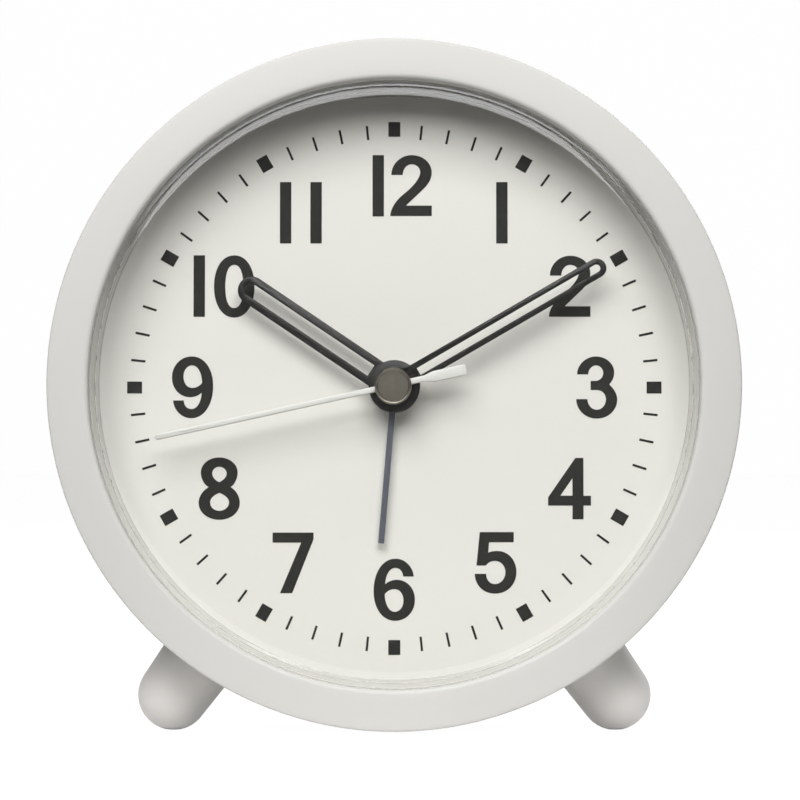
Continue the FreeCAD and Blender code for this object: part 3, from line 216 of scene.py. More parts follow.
shoulder_sweep = math.asin((SHOULDER["end"] - SHOULDER["start"]) / SHOULDER["radius"])
shoulder = []
for step in range(SHOULDER["steps"] + 1):
    tilt = shoulder_sweep * step / SHOULDER["steps"]
    shoulder.append((SHOULDER["start"] + SHOULDER["radius"] * math.sin(tilt),
                     LENS_FRONT + SHOULDER["radius"] * (1 - math.cos(tilt))))
LENS_PROFILE = [(40.5, LENS_FRONT), *shoulder, (43.18, 1.66), (43.24, 1.36), (43.32, 1.29), (43.85, 1.38),
                (44.0, 1.46), (LENS_PLUG, 1.7), (LENS_PLUG, 7.9), (LENS_PLUG, 8.0), (45.4, 8.0), (45.4, 9.98),
                (SKIRT_INSIDE, 9.98), (SKIRT_INSIDE, 3.0), SKIRT_LIP, (42.3, 2.8)]

clear_acrylic, shader = finish("acrylic_polished_clear", "#FFFFFF", 0.0, ior=1.49, Transmission_Weight=1.0)

# Light reaches the dial freely through the window. The skirt traps a part of it at each of its faces, which
# sets in between two distances from the hands' axis.
place = add(clear_acrylic, "ShaderNodeTexCoord")
about_axis = add(clear_acrylic, "ShaderNodeMapping",
                 {"Vector": place.outputs["Object"], "Location": (0, AXIS_DEPTH, AXIS_HEIGHT),
                  "Rotation": (-LEAN, 0, 0)}, vector_type="TEXTURE")
sideways = add(clear_acrylic, "ShaderNodeVectorMath", {0: about_axis.outputs["Vector"], 1: (1, 0, 1)},
               operation="MULTIPLY")
off_axis = add(clear_acrylic, "ShaderNodeVectorMath", {0: sideways.outputs["Vector"]}, operation="LENGTH")
trapped = add(clear_acrylic, "ShaderNodeMapRange",
              {"Value": off_axis.outputs["Value"], "From Min": TRAPS_FROM * MILLIMETRE,
               "From Max": TRAPS_FULLY * MILLIMETRE, "To Min": 1.0, "To Max": SKIRT_PASSES})
ray = add(clear_acrylic, "ShaderNodeLightPath")
lit_through = add(clear_acrylic, "ShaderNodeMath",
                  {0: ray.outputs["Is Shadow Ray"], 1: ray.outputs["Is Diffuse Ray"]}, operation="MAXIMUM")
let_through = add(clear_acrylic, "ShaderNodeBsdfTransparent", {"Color": trapped.outputs["Result"]})
window = add(clear_acrylic, "ShaderNodeMixShader",
             {0: lit_through.outputs[0], 1: shader.outputs[0], 2: let_through.outputs[0]})
clear_acrylic.node_tree.links.new(window.outputs[0],
                                  clear_acrylic.node_tree.nodes["Material Output"].inputs["Surface"])

lens = turned("clear_lens", LENS_PROFILE)
round_rings(lens, [SKIRT_LIP], LIP_ROUND, segments=2)
stand(lens, "case", clear_acrylic, "lens_clear", replaced=["lens"])

# ---------------------------------------------------------------- dial
# The dial is a stamped disc, spray painted in a warm matte white. It lies against the skirt of the lens.

dial_white, shader = finish("paint_matte_warm_white", "#EBEAE2", 0.7)
grain(dial_white, shader, tint(dial_white, shader, "#EAE9E1", "#ECEBE4", 25), 0.0003, 0.000001)


def dress(names, material):
    """Gives one material to pieces that keep their own solids."""
    for name in names:
        nodes[name].data.materials.clear()
        nodes[name].data.materials.append(material)


dress(["dial"], dial_white)

# ---------------------------------------------------------------- hour squares and minute ticks
# The minute track is pad printed in dark grey ink: twelve small squares for the hours and a fine tick for
# each minute between them. The ink stands a few hundredths of a millimetre above the paint.

DIAL_DEPTH = 10.0
INK_THICK = 0.03
HOUR_MARK = {"reach": 37.93, "width": 1.75, "length": 2.17}
MINUTE_MARK = {"reach": 37.6, "width": 0.34, "length": 2.1}

ink, shader = finish("ink_pad_printed_dark_grey", "#262622", 0.75, Specular_IOR_Level=0.25)
grain(ink, shader, tint(ink, shader, "#232320", "#292925", 900), 0.0002, 0.000002)


def printed_mark(name, mark, minute):
    """One printed bar, drawn at twelve o'clock and swung round to its minute."""
    bpy.ops.object.select_all(action="DESELECT")
    bpy.ops.mesh.primitive_plane_add(size=1, location=(0, DIAL_DEPTH, mark["reach"]),
                                     rotation=(math.pi / 2, 0, 0))
    piece = bpy.context.object
    piece.name = name
    bpy.ops.transform.resize(value=(mark["width"], 1, mark["length"]))
    bpy.ops.object.transform_apply(location=True, rotation=True, scale=True)
    edit(piece)
    bpy.ops.mesh.select_all(action="SELECT")
    bpy.ops.mesh.extrude_region_move(TRANSFORM_OT_translate={"value": (0, -INK_THICK, 0)})
    bpy.ops.mesh.select_all(action="SELECT")
    bpy.ops.mesh.normals_make_consistent(inside=False)
    bpy.ops.object.mode_set(mode="OBJECT")
    piece.data.transform(Matrix.Rotation(math.radians(minute * 6), 4, "Y"))
    return piece


def joined(name, pieces):
    """Several pieces of one kind as a single piece."""
    bpy.ops.object.select_all(action="DESELECT")
    for piece in pieces:
        piece.select_set(True)
    bpy.context.view_layer.objects.active = pieces[0]
    bpy.ops.object.join()
    whole = bpy.context.object
    whole.name = name
    return whole


hour_marks = [printed_mark(f"hour_mark_{minute}", HOUR_MARK, minute) for minute in range(0, 60, 5)]
minute_marks = [printed_mark(f"minute_mark_{minute}", MINUTE_MARK, minute)
                for minute in range(60) if minute % 5]
stand(joined("hour_squares", hour_marks), "case", ink)
stand(joined("minute_ticks", minute_marks), "case", ink)

# ---------------------------------------------------------------- numerals
# Twelve upright numerals in a plain bold grotesque, pad printed with the same ink. A one is a bare bar.

# Outlines in tenths of a numeral's height, from its left side and its top. A point is (x, y) at a corner, and
# (x, y, in x, in y, out x, out y) where handles shape the curve on either side of it.
UNIT = 0.906
ONE = [[(0, 0), (1.84, 0), (1.84, 9.97), (0, 9.97)]]
TWO = [[
    (0.17, 3.23, 0, 0, 0, -1.78), (3.46, 0, -1.82, 0, 1.85, 0), (6.71, 2.8, 0, -1.55, 0, 1.25),
    (5.26, 5.61, 0.75, -0.72, -0.6, 0.56), (2.55, 8.2), (6.71, 8.2), (6.71, 9.9),
    (0, 9.9, 0, 0, 0.05, -1.35), (1.88, 6.58, -0.85, 0.75, 0.85, -0.66), (4.84, 2.8, 0, 1.35, 0, -0.75),
    (3.46, 1.49, 0.77, 0, -0.85, 0), (2.03, 3.23, 0, -0.9, 0, 0)]]
THREE = [[
    (0.17, 2.91, 0, 0, 0, -1.55), (3.23, 0, -1.65, 0, 1.65, 0), (6.17, 2.58, 0, -1.4, 0, 0.9),
    (5.36, 4.54, 0.38, -0.4, 0.5, 0.42), (6.65, 6.95, 0, -1.05, 0, 1.75), (3.33, 10.06, 1.85, 0, -1.85, 0),
    (0.02, 6.91, 0.03, 1.75, 0, 0), (1.84, 6.91, 0, 0, 0.02, 0.95), (3.33, 8.62, -0.8, 0, 0.82, 0),
    (4.82, 6.95, 0, 0.92, 0, -0.92), (3.3, 5.43, 0.85, 0, 0, 0), (2.36, 5.43), (2.36, 3.96),
    (3.1, 3.96, 0, 0, 0.75, 0), (4.39, 2.68, 0, 0.7, 0, -0.68), (3.23, 1.46, 0.64, 0, -0.66, 0),
    (1.97, 2.91, 0.02, -0.8, 0, 0)]]
FOUR = [[
    (4.4, 0), (5.7, 0), (5.7, 6.11), (6.91, 6.11), (6.91, 7.69), (5.7, 7.69), (5.7, 9.9), (3.92, 9.9),
    (3.92, 7.69), (0, 7.69), (0, 6.36)], [(3.92, 3.3), (3.92, 6.09), (1.98, 6.09)]]
FIVE = [[
    (0.88, 0), (6.35, 0), (6.35, 1.64), (2.38, 1.64), (2.25, 3.3, 0, 0, 0.45, -0.2),
    (3.74, 3.04, -0.6, 0, 1.7, 0), (6.78, 6.4, 0, -1.95, 0, 2.0), (3.35, 9.9, 2.0, 0, -1.9, 0),
    (0.06, 6.71, 0.05, 1.9, 0, 0), (1.9, 6.71, 0, 0, 0.02, 0.95), (3.31, 8.36, -0.8, 0, 0.95, 0),
    (5.0, 6.45, 0, 1.05, 0, -1.0), (3.31, 4.64, 0.95, 0, -0.65, 0), (1.86, 5.38, 0.35, -0.45, 0, 0),
    (0.35, 5.38)]]
SIX = [[
    (6.5, 2.88, 0, 0, -0.15, -1.6), (3.52, 0, 1.6, 0, -2.1, 0), (0.02, 5.2, 0, -2.9, 0, 2.85),
    (3.47, 10.0, -2.0, 0, 1.85, 0), (6.68, 6.6, 0, 1.9, 0, -1.85), (3.75, 3.4, 1.65, 0, -0.8, 0),
    (1.88, 4.1, 0.45, -0.35, 0.08, -1.4), (3.5, 1.5, -0.95, 0, 0.75, 0), (4.78, 2.88, -0.1, -0.85, 0, 0)],
    [(1.82, 5.72, 0.02, 1.5, 0.4, -0.5), (3.41, 4.91, -0.7, 0, 0.85, 0), (4.82, 6.73, 0, -1.0, 0, 1.05),
     (3.41, 8.55, 0.8, 0, -0.95, 0)]]
SEVEN = [[(0, 0), (6.59, 0), (6.59, 1.1), (3.17, 9.75), (1.2, 9.75), (4.6, 1.62), (0, 1.62)]]
EIGHT = [[
    (3.31, 0, -1.65, 0, 1.65, 0), (6.29, 2.42, 0, -1.35, 0, 1.05), (5.15, 4.8, 0.6, -0.38, 0.85, 0.48),
    (6.64, 7.35, 0, -1.15, 0, 1.55), (3.35, 10.06, 1.85, 0, -1.85, 0), (0.01, 7.35, 0, 1.55, 0, -1.15),
    (1.61, 4.8, -0.85, 0.48, -0.7, -0.38), (0.35, 2.42, 0, 1.05, 0, -1.35)],
    [(3.31, 1.51, -0.64, 0, 0.64, 0), (4.51, 2.6, 0, -0.6, 0, 0.65), (3.31, 4.0, 0.55, -0.25, -0.5, -0.25),
     (2.19, 2.6, 0, 0.65, 0, -0.6)],
    [(3.35, 5.71, -0.7, 0.28, 0.7, 0.28), (4.9, 7.25, 0, -0.75, 0, 0.75), (3.35, 8.61, 0.85, 0, -0.85, 0),
     (1.86, 7.25, 0, 0.75, 0, -0.75)]]
NOUGHT = [[
    (3.28, 0, -2.0, 0, 2.0, 0), (6.56, 5.05, 0, -2.95, 0, 2.95), (3.28, 10.1, 2.0, 0, -2.0, 0),
    (0, 5.05, 0, 2.95, 0, -2.95)],
    [(3.28, 1.55, -0.95, 0, 0.95, 0), (4.73, 5.05, 0, -2.2, 0, 2.2), (3.28, 8.56, 0.95, 0, -0.95, 0),
     (1.83, 5.05, 0, 2.2, 0, -2.2)]]


def half_turn(outlines, width, height):
    """The same outlines turned upside down, which makes a nine of a six."""
    return [[(width - p[0], height - p[1], *(-h for h in p[2:])) for p in outline] for outline in outlines]


NINE = half_turn(SIX, width=6.68, height=10.0)

# Each hour's digits, with the place of their left side and top in millimetres from the dial's centre.
NUMERALS = {
    "twelve": [(ONE, -3.19, 34.14), (TWO, -0.6, 34.14)],
    "one": [(ONE, 14.91, 30.17)],
    "two": [(TWO, 22.59, 19.34)],
    "three": [(THREE, 26.53, 4.56)],
    "four": [(FOUR, 22.42, -10.29)],
    "five": [(FIVE, 11.65, -21.12)],
    "six": [(SIX, -3.04, -24.99)],
    "seven": [(SEVEN, -17.74, -21.19)],
    "eight": [(EIGHT, -28.54, -10.22)],
    "nine": [(NINE, -32.48, 4.56)],
    "ten": [(ONE, -29.36, 19.4), (NOUGHT, -26.38, 19.4)],
    "eleven": [(ONE, -16.75, 30.17), (ONE, -12.29, 30.17)],
}


def numeral(name, digits):
    """One hour's numeral: a flat curve of filled outlines, thickened to the ink's height and made a mesh."""
    curve = bpy.data.curves.new(name, "CURVE")
    curve.dimensions = "2D"
    curve.fill_mode = "BOTH"
    curve.extrude = INK_THICK / 2
    curve.resolution_u = 10
    for outlines, left, top in digits:
        for outline in outlines:
            spline = curve.splines.new("BEZIER")
            spline.use_cyclic_u = True
            spline.bezier_points.add(len(outline) - 1)
            for point, place in zip(spline.bezier_points, outline):
                x, y, *handles = place if len(place) == 6 else (*place, 0, 0, 0, 0)
                spots = [(x, y), (x + handles[0], y + handles[1]), (x + handles[2], y + handles[3])]
                centre, before, after = [(left + u * UNIT, top - v * UNIT, 0) for u, v in spots]
                point.handle_left_type = point.handle_right_type = "FREE"
                point.co, point.handle_left, point.handle_right = centre, before, after
    piece = bpy.data.objects.new(name, curve)
    bpy.context.collection.objects.link(piece)
    bpy.ops.object.select_all(action="DESELECT")
    bpy.context.view_layer.objects.active = piece
    piece.select_set(True)
    bpy.ops.object.convert(target="MESH")
    on_dial = Matrix.Translation((0, DIAL_DEPTH - INK_THICK / 2, 0))
    piece.data.transform(on_dial @ Matrix.Rotation(math.pi / 2, 4, "X"))
    edit(piece)
    bpy.ops.mesh.select_all(action="SELECT")
    bpy.ops.mesh.remove_doubles(threshold=0.0005)
    bpy.ops.mesh.normals_make_consistent(inside=False)
    bpy.ops.object.mode_set(mode="OBJECT")
    return piece


for hour, digits in NUMERALS.items():
    stand(numeral(f"numeral_{hour}", digits), "case", ink)

# ---------------------------------------------------------------- hour, minute and alarm hands
# The hour and minute hands are stamped from thin aluminium with an open blade, and lacquered satin black. The
# alarm hand is a plain slate grey pointer. All three are pressed on the tubes of the motion work.

STAMPED_EDGE = 0.00006
SHARP_OVER = 30.0

black_lacquer, shader = finish("lacquer_satin_black", "#12120F", 0.4, Specular_IOR_Level=0.3)
place = tint(black_lacquer, shader, "#0E0E0B", "#151512", 800)
grain(black_lacquer, shader, place, 0.0003, 0.000003, (0.34, 0.46))
slate_lacquer, shader = finish("lacquer_slate_grey", "#5C5F68", 0.45)
grain(slate_lacquer, shader, tint(slate_lacquer, shader, "#585B64", "#62656E", 600), 0.0003, 0.000002)


def eased(name, width, segments=2):
    """A piece drawn over its own solid: facets merged, and sharp edges rounded by a width in metres."""
    piece = bpy.data.objects.new(name + "_eased", nodes[name].data.copy())
    bpy.context.collection.objects.link(piece)
    edit(piece)
    bpy.ops.mesh.select_all(action="SELECT")
    bpy.ops.mesh.remove_doubles(threshold=0.000001)
    bpy.ops.mesh.dissolve_limited(angle_limit=math.radians(1.0))
    bpy.ops.object.mode_set(mode="OBJECT")
    rounding = piece.modifiers.new("rounded_edges", "BEVEL")
    rounding.width, rounding.segments = width, segments
    rounding.limit_method, rounding.angle_limit = "ANGLE", math.radians(SHARP_OVER)
    bpy.ops.object.modifier_apply(modifier=rounding.name)
    return piece


for hand, body, lacquer, slot in (("hour_hand", "hours", black_lacquer, "hand_black"),
                                  ("minute_hand", "minutes", black_lacquer, "hand_black"),
                                  ("alarm_hand", "alarm", slate_lacquer, "hand_slate")):
    seat(eased(hand, STAMPED_EDGE), body, lacquer, slot, replaced=[hand])

# ---------------------------------------------------------------- seconds hand
# A thin bar with a rounded tip and a paddle for a tail, stamped with rolled edges and lacquered white. The
# rolled edges catch the light above and fall into shade below.

SECOND_ANGLE = 257.6
SECOND_FRONT = 5.0
SECOND_BACK = 5.3
NEEDLE = {"half": 0.42, "reach": 35.5}
TAIL = {"half": 0.46, "neck": 4.6, "paddle": 0.8, "flare": 5.9, "end": 10.7}
TIP_STEPS = 6
ROLLED_EDGE = 0.17
SECOND_BOSS = [(0.3, 5.1), (0.95, 5.1), (1.0, 5.15), (1.0, 5.8), (0.3, 5.8)]

white_lacquer, shader = finish("lacquer_white", "#E2E2DC", 0.4)
grain(white_lacquer, shader, tint(white_lacquer, shader, "#DFDFD9", "#E5E5DF", 600), 0.0003, 0.000002)


def second_bar():
    """The bar from tip to tail: a square of metal, lengthened edge by edge, then given its thickness."""
    bpy.ops.object.select_all(action="DESELECT")
    bpy.ops.mesh.primitive_plane_add(size=1, location=(0, SECOND_BACK, 0), rotation=(math.pi / 2, 0, 0))
    piece = bpy.context.object
    piece.name = "second_bar"
    bpy.ops.transform.resize(value=(2 * NEEDLE["half"], 1, 2 * NEEDLE["half"]))
    bpy.ops.object.transform_apply(location=True, rotation=True, scale=True)

    def pick_end(upper):
        """Selects the bar's edge at its tip or at its tail."""
        bpy.ops.object.mode_set(mode="OBJECT")
        reach = max if upper else min
        level = reach(v.co.z for v in piece.data.vertices)
        for v in piece.data.vertices:
            v.select = abs(v.co.z - level) < 0.001
        edit(piece)
        return level

    bpy.ops.object.mode_set(mode="EDIT")
    bpy.ops.mesh.select_mode(type="VERT")
    bpy.ops.mesh.select_all(action="DESELECT")
    start = pick_end(True)
    straight = NEEDLE["reach"] - NEEDLE["half"] - start
    bpy.ops.mesh.extrude_edges_move(TRANSFORM_OT_translate={"value": (0, 0, straight)})
    level = pick_end(True)
    for step in range(1, TIP_STEPS):
        turn = math.pi / 2 * step / TIP_STEPS
        height = NEEDLE["reach"] - NEEDLE["half"] * (1 - math.sin(turn))
        bpy.ops.mesh.extrude_edges_move(TRANSFORM_OT_translate={"value": (0, 0, height - level)})
        narrow = math.cos(turn) / math.cos(turn - math.pi / 2 / TIP_STEPS)
        bpy.ops.transform.resize(value=(narrow, 1, 1), center_override=(0, SECOND_BACK, height))
        level = height
    level, half = pick_end(False), NEEDLE["half"]
    for next_half, next_level in ((TAIL["half"], -TAIL["neck"]), (TAIL["paddle"], -TAIL["flare"]),
                                  (TAIL["paddle"], -TAIL["end"])):
        bpy.ops.mesh.extrude_edges_move(TRANSFORM_OT_translate={"value": (0, 0, next_level - level)})
        bpy.ops.transform.resize(value=(next_half / half, 1, 1), center_override=(0, SECOND_BACK, next_level))
        level, half = next_level, next_half
    bpy.ops.mesh.select_all(action="SELECT")
    bpy.ops.mesh.extrude_region_move(TRANSFORM_OT_translate={"value": (0, SECOND_FRONT - SECOND_BACK, 0)})
    bpy.ops.mesh.select_all(action="SELECT")
    bpy.ops.mesh.normals_make_consistent(inside=False)
    bpy.ops.object.mode_set(mode="OBJECT")
    return piece


def round_front(piece, front, width):
    """Rounds the sharp edges round a flat piece's front face."""
    edit(piece)
    bpy.ops.mesh.select_mode(type="EDGE")
    bpy.ops.mesh.select_all(action="DESELECT")
    bpy.ops.object.mode_set(mode="OBJECT")
    points = [v.co for v in piece.data.vertices]
    uses = {}
    for face in piece.data.polygons:
        if abs(face.normal.y) > 0.9 and abs(face.center.y - front) < 0.001:
            for edge in face.edge_keys:
                uses[edge] = uses.get(edge, 0) + 1
    for edge in piece.data.edges:
        at_front = abs(points[edge.vertices[0]].y - front) < 0.001
        edge.select = uses.get(tuple(sorted(edge.vertices))) == 1 and at_front
    bpy.ops.object.mode_set(mode="EDIT")
    bpy.ops.mesh.bevel(offset=width, segments=3, profile=0.5, affect="EDGES")
    bpy.ops.object.mode_set(mode="OBJECT")


second_bar_piece = second_bar()
round_front(second_bar_piece, SECOND_FRONT, ROLLED_EDGE)
second_boss = turned("second_boss", SECOND_BOSS, sides=48)
second_whole = joined("second_needle", [second_bar_piece, second_boss])
second_whole.data.transform(Matrix.Rotation(math.radians(SECOND_ANGLE), 4, "Y"))
stand(second_whole, "seconds", white_lacquer, "hand_white", replaced=["second_hand"])

# ---------------------------------------------------------------- cap over the hands' arbor
# A small turned cap with a raised rim, plated in dark nickel, with faint marks from the lathe. It was pressed
# on by hand, a little off centre.

CAP_OFF_CENTRE = (-0.16, 0, -0.2)
LATHE_PITCH = 0.0002
CAP_PROFILE = [(0.4, 4.08), (2.2, 4.08), (2.3, 3.98), (2.36, 3.92), (2.48, 3.9), (2.6, 3.97), (2.68, 4.12),
               (2.68, 5.0), (0.5, 5.0), (0.5, 4.6)]

dark_nickel, shader = finish("nickel_dark_turned", "#7F7B70", 0.3, metallic=1.0)
place = tint(dark_nickel, shader, "#6E6A60", "#88847A", 700)
drawn_out = add(dark_nickel, "ShaderNodeMapping", {"Vector": place.outputs["Object"], "Scale": (0.15, 1, 1)})
streaks = add(dark_nickel, "ShaderNodeTexNoise",
              {"Vector": drawn_out.outputs["Vector"], "Scale": 1 / LATHE_PITCH, "Detail": 2.0})
scored = add(dark_nickel, "ShaderNodeBump",
             {"Strength": 1.0, "Distance": LATHE_PITCH / 15, "Height": streaks.outputs["Fac"]})
dark_nickel.node_tree.links.new(scored.outputs["Normal"], shader.inputs["Normal"])

hand_cap = turned("hand_cap", CAP_PROFILE, sides=96)
hand_cap.data.transform(Matrix.Translation(CAP_OFF_CENTRE))
stand(hand_cap, "seconds", dark_nickel, "cap_nickel", replaced=["second_cap"])

# ---------------------------------------------------------------- dial carrier
# Behind the dial lies a moulded disc of natural white polystyrene. Its four hollow posts reach back to the
# cover, and four stakes with melted heads hold the movement.

natural_styrene, shader = finish("polystyrene_natural_white", "#E6E3D8", 0.5, ior=1.59)
grain(natural_styrene, shader, tint(natural_styrene, shader, "#E3E0D4", "#E9E6DC", 120), 0.0004, 0.000004)
dress(["dial_carrier"], natural_styrene)

# ---------------------------------------------------------------- gears and knob arbors
# Wheels and pinions are moulded in unfilled acetal, which is waxy, milky white and slightly see-through, and
# needs no oil. Mould marks are too fine to see, but the plastic clouds a little where it is thick.

acetal, shader = finish("acetal_natural", "#E9E7DC", 0.38, ior=1.48, Subsurface_Weight=0.2,
                        Subsurface_Scale=0.0006)
grain(acetal, shader, tint(acetal, shader, "#E5E3D7", "#EEECE3", 300), 0.0003, 0.000002, (0.33, 0.43))
dress(["second_wheel", "third_wheel", "centre_wheel", "fifth_wheel", "rotor", "minute_wheel", "hour_wheel",
       "alarm_wheel", "alarm_setting_pinion", "coil_bobbin"], acetal)

# ---------------------------------------------------------------- minute tube, sounder and alarm spring
# The minute tube is turned from free cutting brass and left bare. The sounder's disc and the alarm's contact
# leaf are stamped from brass sheet, a little uneven from its rolling.

bare_brass, shader = finish("brass_bare", "#D8B56A", 0.28, metallic=1.0)
place = tint(bare_brass, shader, "#CFAA5E", "#DFBF78", 500)
grain(bare_brass, shader, place, 0.00015, 0.000002, (0.22, 0.36))
dress(["minute_tube", "piezo_disc", "alarm_contact_spring"], bare_brass)

# ---------------------------------------------------------------- motor: magnet, iron and coil
# A tiny sintered ferrite magnet turns in a loop of soft iron sheet. The coil on its leg is enamelled copper
# wire, wound in even layers, with fewer and thicker turns than a real one so that they show.

# A wave texture's bands lie pi / (WAVE_BANDS * Scale) apart.
WIRE_PITCH = 0.00012
WAVE_BANDS = 10

ferrite, shader = finish("ferrite_sintered", "#2E2F31", 0.55)
grain(ferrite, shader, tint(ferrite, shader, "#28292B", "#36373A", 2500), 0.00008, 0.000003, (0.45, 0.65))
dress(["rotor_magnet"], ferrite)

soft_iron, shader = finish("iron_sheet_annealed", "#8F8E8B", 0.42, metallic=1.0)
grain(soft_iron, shader, tint(soft_iron, shader, "#84827E", "#999895", 700), 0.0002, 0.000002, (0.34, 0.5))
dress(["stator"], soft_iron)

enamelled_wire, shader = finish("copper_enamelled", "#B4602F", 0.3, metallic=1.0, Coat_Weight=0.6)
place = tint(enamelled_wire, shader, "#A9572A", "#C26D3A", 900)
upright = add(enamelled_wire, "ShaderNodeMapping",
              {"Vector": place.outputs["Object"], "Rotation": (LEAN, 0, 0)})
turns = add(enamelled_wire, "ShaderNodeTexWave",
            {"Vector": upright.outputs["Vector"], "Scale": math.pi / (WAVE_BANDS * WIRE_PITCH),
             "Distortion": 0.0}, bands_direction="Z", wave_profile="SIN")
wound = add(enamelled_wire, "ShaderNodeBump",
            {"Strength": 1.0, "Distance": WIRE_PITCH / 3, "Height": turns.outputs["Fac"]})
enamelled_wire.node_tree.links.new(wound.outputs["Normal"], shader.inputs["Normal"])
dress(["coil_winding"], enamelled_wire)

# ---------------------------------------------------------------- circuit board and chip
# A strip of green glass-fibre board carries a chip under a blob of black epoxy. The weave of the glass cloth
# shows faintly through the board's lacquer, and the epoxy was poured, so it is smooth and glossy.

WEAVE_PITCH = 0.0006

board_green, shader = finish("board_green_lacquer", "#1F6A3C", 0.3)
place = tint(board_green, shader, "#1B6237", "#257345", 400)
weave = add(board_green, "ShaderNodeTexBrick",
            {"Vector": place.outputs["Object"], "Scale": 1 / WEAVE_PITCH, "Mortar Size": 0.1,
             "Color1": (1, 1, 1, 1), "Color2": (0.7, 0.7, 0.7, 1), "Mortar": (0, 0, 0, 1)})
woven = add(board_green, "ShaderNodeBump",
            {"Strength": 1.0, "Distance": 0.00001, "Height": weave.outputs["Color"]})
board_green.node_tree.links.new(woven.outputs["Normal"], shader.inputs["Normal"])
dress(["circuit_board"], board_green)

epoxy, shader = finish("epoxy_black_potting", "#151516", 0.25, ior=1.55)
grain(epoxy, shader, tint(epoxy, shader, "#121213", "#1B1B1D", 400), 0.001, 0.00001, (0.18, 0.34))
dress(["chip_blob"], epoxy)

# ---------------------------------------------------------------- crystal, contacts and inner screws
# The watch crystal's drawn can, the cell's folded contacts and the screws of the feet and the movement are
# steel with a thin bright zinc plating.

bright_zinc, shader = finish("zinc_plate_bright", "#A6A9AC", 0.32, metallic=1.0)
place = tint(bright_zinc, shader, "#9DA1A5", "#B0B2B4", 250)
grain(bright_zinc, shader, place, 0.0005, 0.000001, (0.27, 0.38))
dress(["quartz_crystal", "positive_contact", "negative_contact", "foot_screws", "movement_screws"],
      bright_zinc)

# ---------------------------------------------------------------- movement housing
# The movement sits in a flat box of black ABS, in two halves that screw together, with the battery bay
# moulded below. The mould was polished lightly, so the box has a soft sheen.

HOUSING_EDGE = 0.00015

black_abs, shader = finish("abs_black_satin", "#222325", 0.4, ior=1.53)
grain(black_abs, shader, tint(black_abs, shader, "#1E1F21", "#28292B", 150), 0.00025, 0.000004, (0.34, 0.48))
dress(["movement_front_housing", "middle_plate"], black_abs)
seat(eased("movement_rear_housing", HOUSING_EDGE), "case", black_abs, "movement_black",
     replaced=["movement_rear_housing"])

# ---------------------------------------------------------------- battery cell
# One round 1.5 V cell lies across the bay. Its steel can is nickel plated, and a shrunk printed sleeve, in
# plain graphite with a gold end, leaves the rims and the tip bare.

CELL = {"depth": 27.5, "height": -28.9}
SLEEVE_GOLD_FROM = 10.0
CELL_CAN = [(2.75, 25.6), (2.75, 24.75), (3.0, 24.6), (6.4, 24.6), (6.9, 24.35), (7.1, 23.9), (7.1, -24.3),
            (6.8, -24.6), (5.9, -24.7), (5.3, -24.45)]
CELL_SLEEVE = [(6.55, 24.5), (6.95, 24.68), (7.2, 24.45), (7.25, 24.1), (7.25, -24.2), (7.15, -24.45),
               (6.85, -24.55), (7.08, -24.2), (7.08, 24.1), (6.55, 24.5)]

nickel_plate, shader = finish("nickel_plate_cell", "#BDBBB4", 0.24, metallic=1.0)
place = tint(nickel_plate, shader, "#B2B0A8", "#C8C6C0", 500)
grain(nickel_plate, shader, place, 0.0003, 0.000003, (0.18, 0.34))

sleeve_print, shader = finish("pvc_sleeve_printed", "#2B2D30", 0.22, ior=1.54, Coat_Weight=0.3)
place = add(sleeve_print, "ShaderNodeTexCoord")
along = add(sleeve_print, "ShaderNodeSeparateXYZ", {"Vector": place.outputs["Object"]})
gold_end = add(sleeve_print, "ShaderNodeMath", {0: along.outputs["X"], 1: SLEEVE_GOLD_FROM * MILLIMETRE},
               operation="GREATER_THAN")
bands = add(sleeve_print, "ShaderNodeMix",
            {"Factor": gold_end.outputs[0], MIX_LOW: linear("#2B2D30"), MIX_HIGH: linear("#B98A3C")},
            data_type="RGBA")
sleeve_print.node_tree.links.new(bands.outputs[MIX_RESULT], shader.inputs["Base Color"])
grain(sleeve_print, shader, place, 0.0006, 0.000003, (0.17, 0.28))


def lying(piece):
    """Lays a piece that was turned about the hands' axis along the bay, with its front end to the left."""
    to_bay = Matrix.Translation((0, CELL["depth"], CELL["height"]))
    piece.data.transform(to_bay @ Matrix.Rotation(-math.pi / 2, 4, "Z"))
    return piece


cell_can = lying(turned("cell_can", CELL_CAN, sides=64))
stand(cell_can, "case", nickel_plate, "cell_jacket", replaced=["battery_cell"])
cell_sleeve = lying(turned("cell_sleeve", CELL_SLEEVE, sides=64))
stand(cell_sleeve, "case", sleeve_print, "cell_jacket")

# ---------------------------------------------------------------- rear cover
# The back is a cup of the case's grey ABS with a bevelled rim and slots for the sound. Its small heel is the
# third point that the clock stands on. Words printed beside the switch's slot say which way is on.

COVER_DEPTH = 39.0
COVER_EDGE = 0.0005
LETTERS = {"height": 3.0, "rise": 0.04, "level": 15.0}
WORDS = {"OFF": -9.0, "ON": 9.6}

seat(eased("rear_cover", COVER_EDGE, segments=3), "case", grey_abs, "case_white", replaced=["rear_cover"])


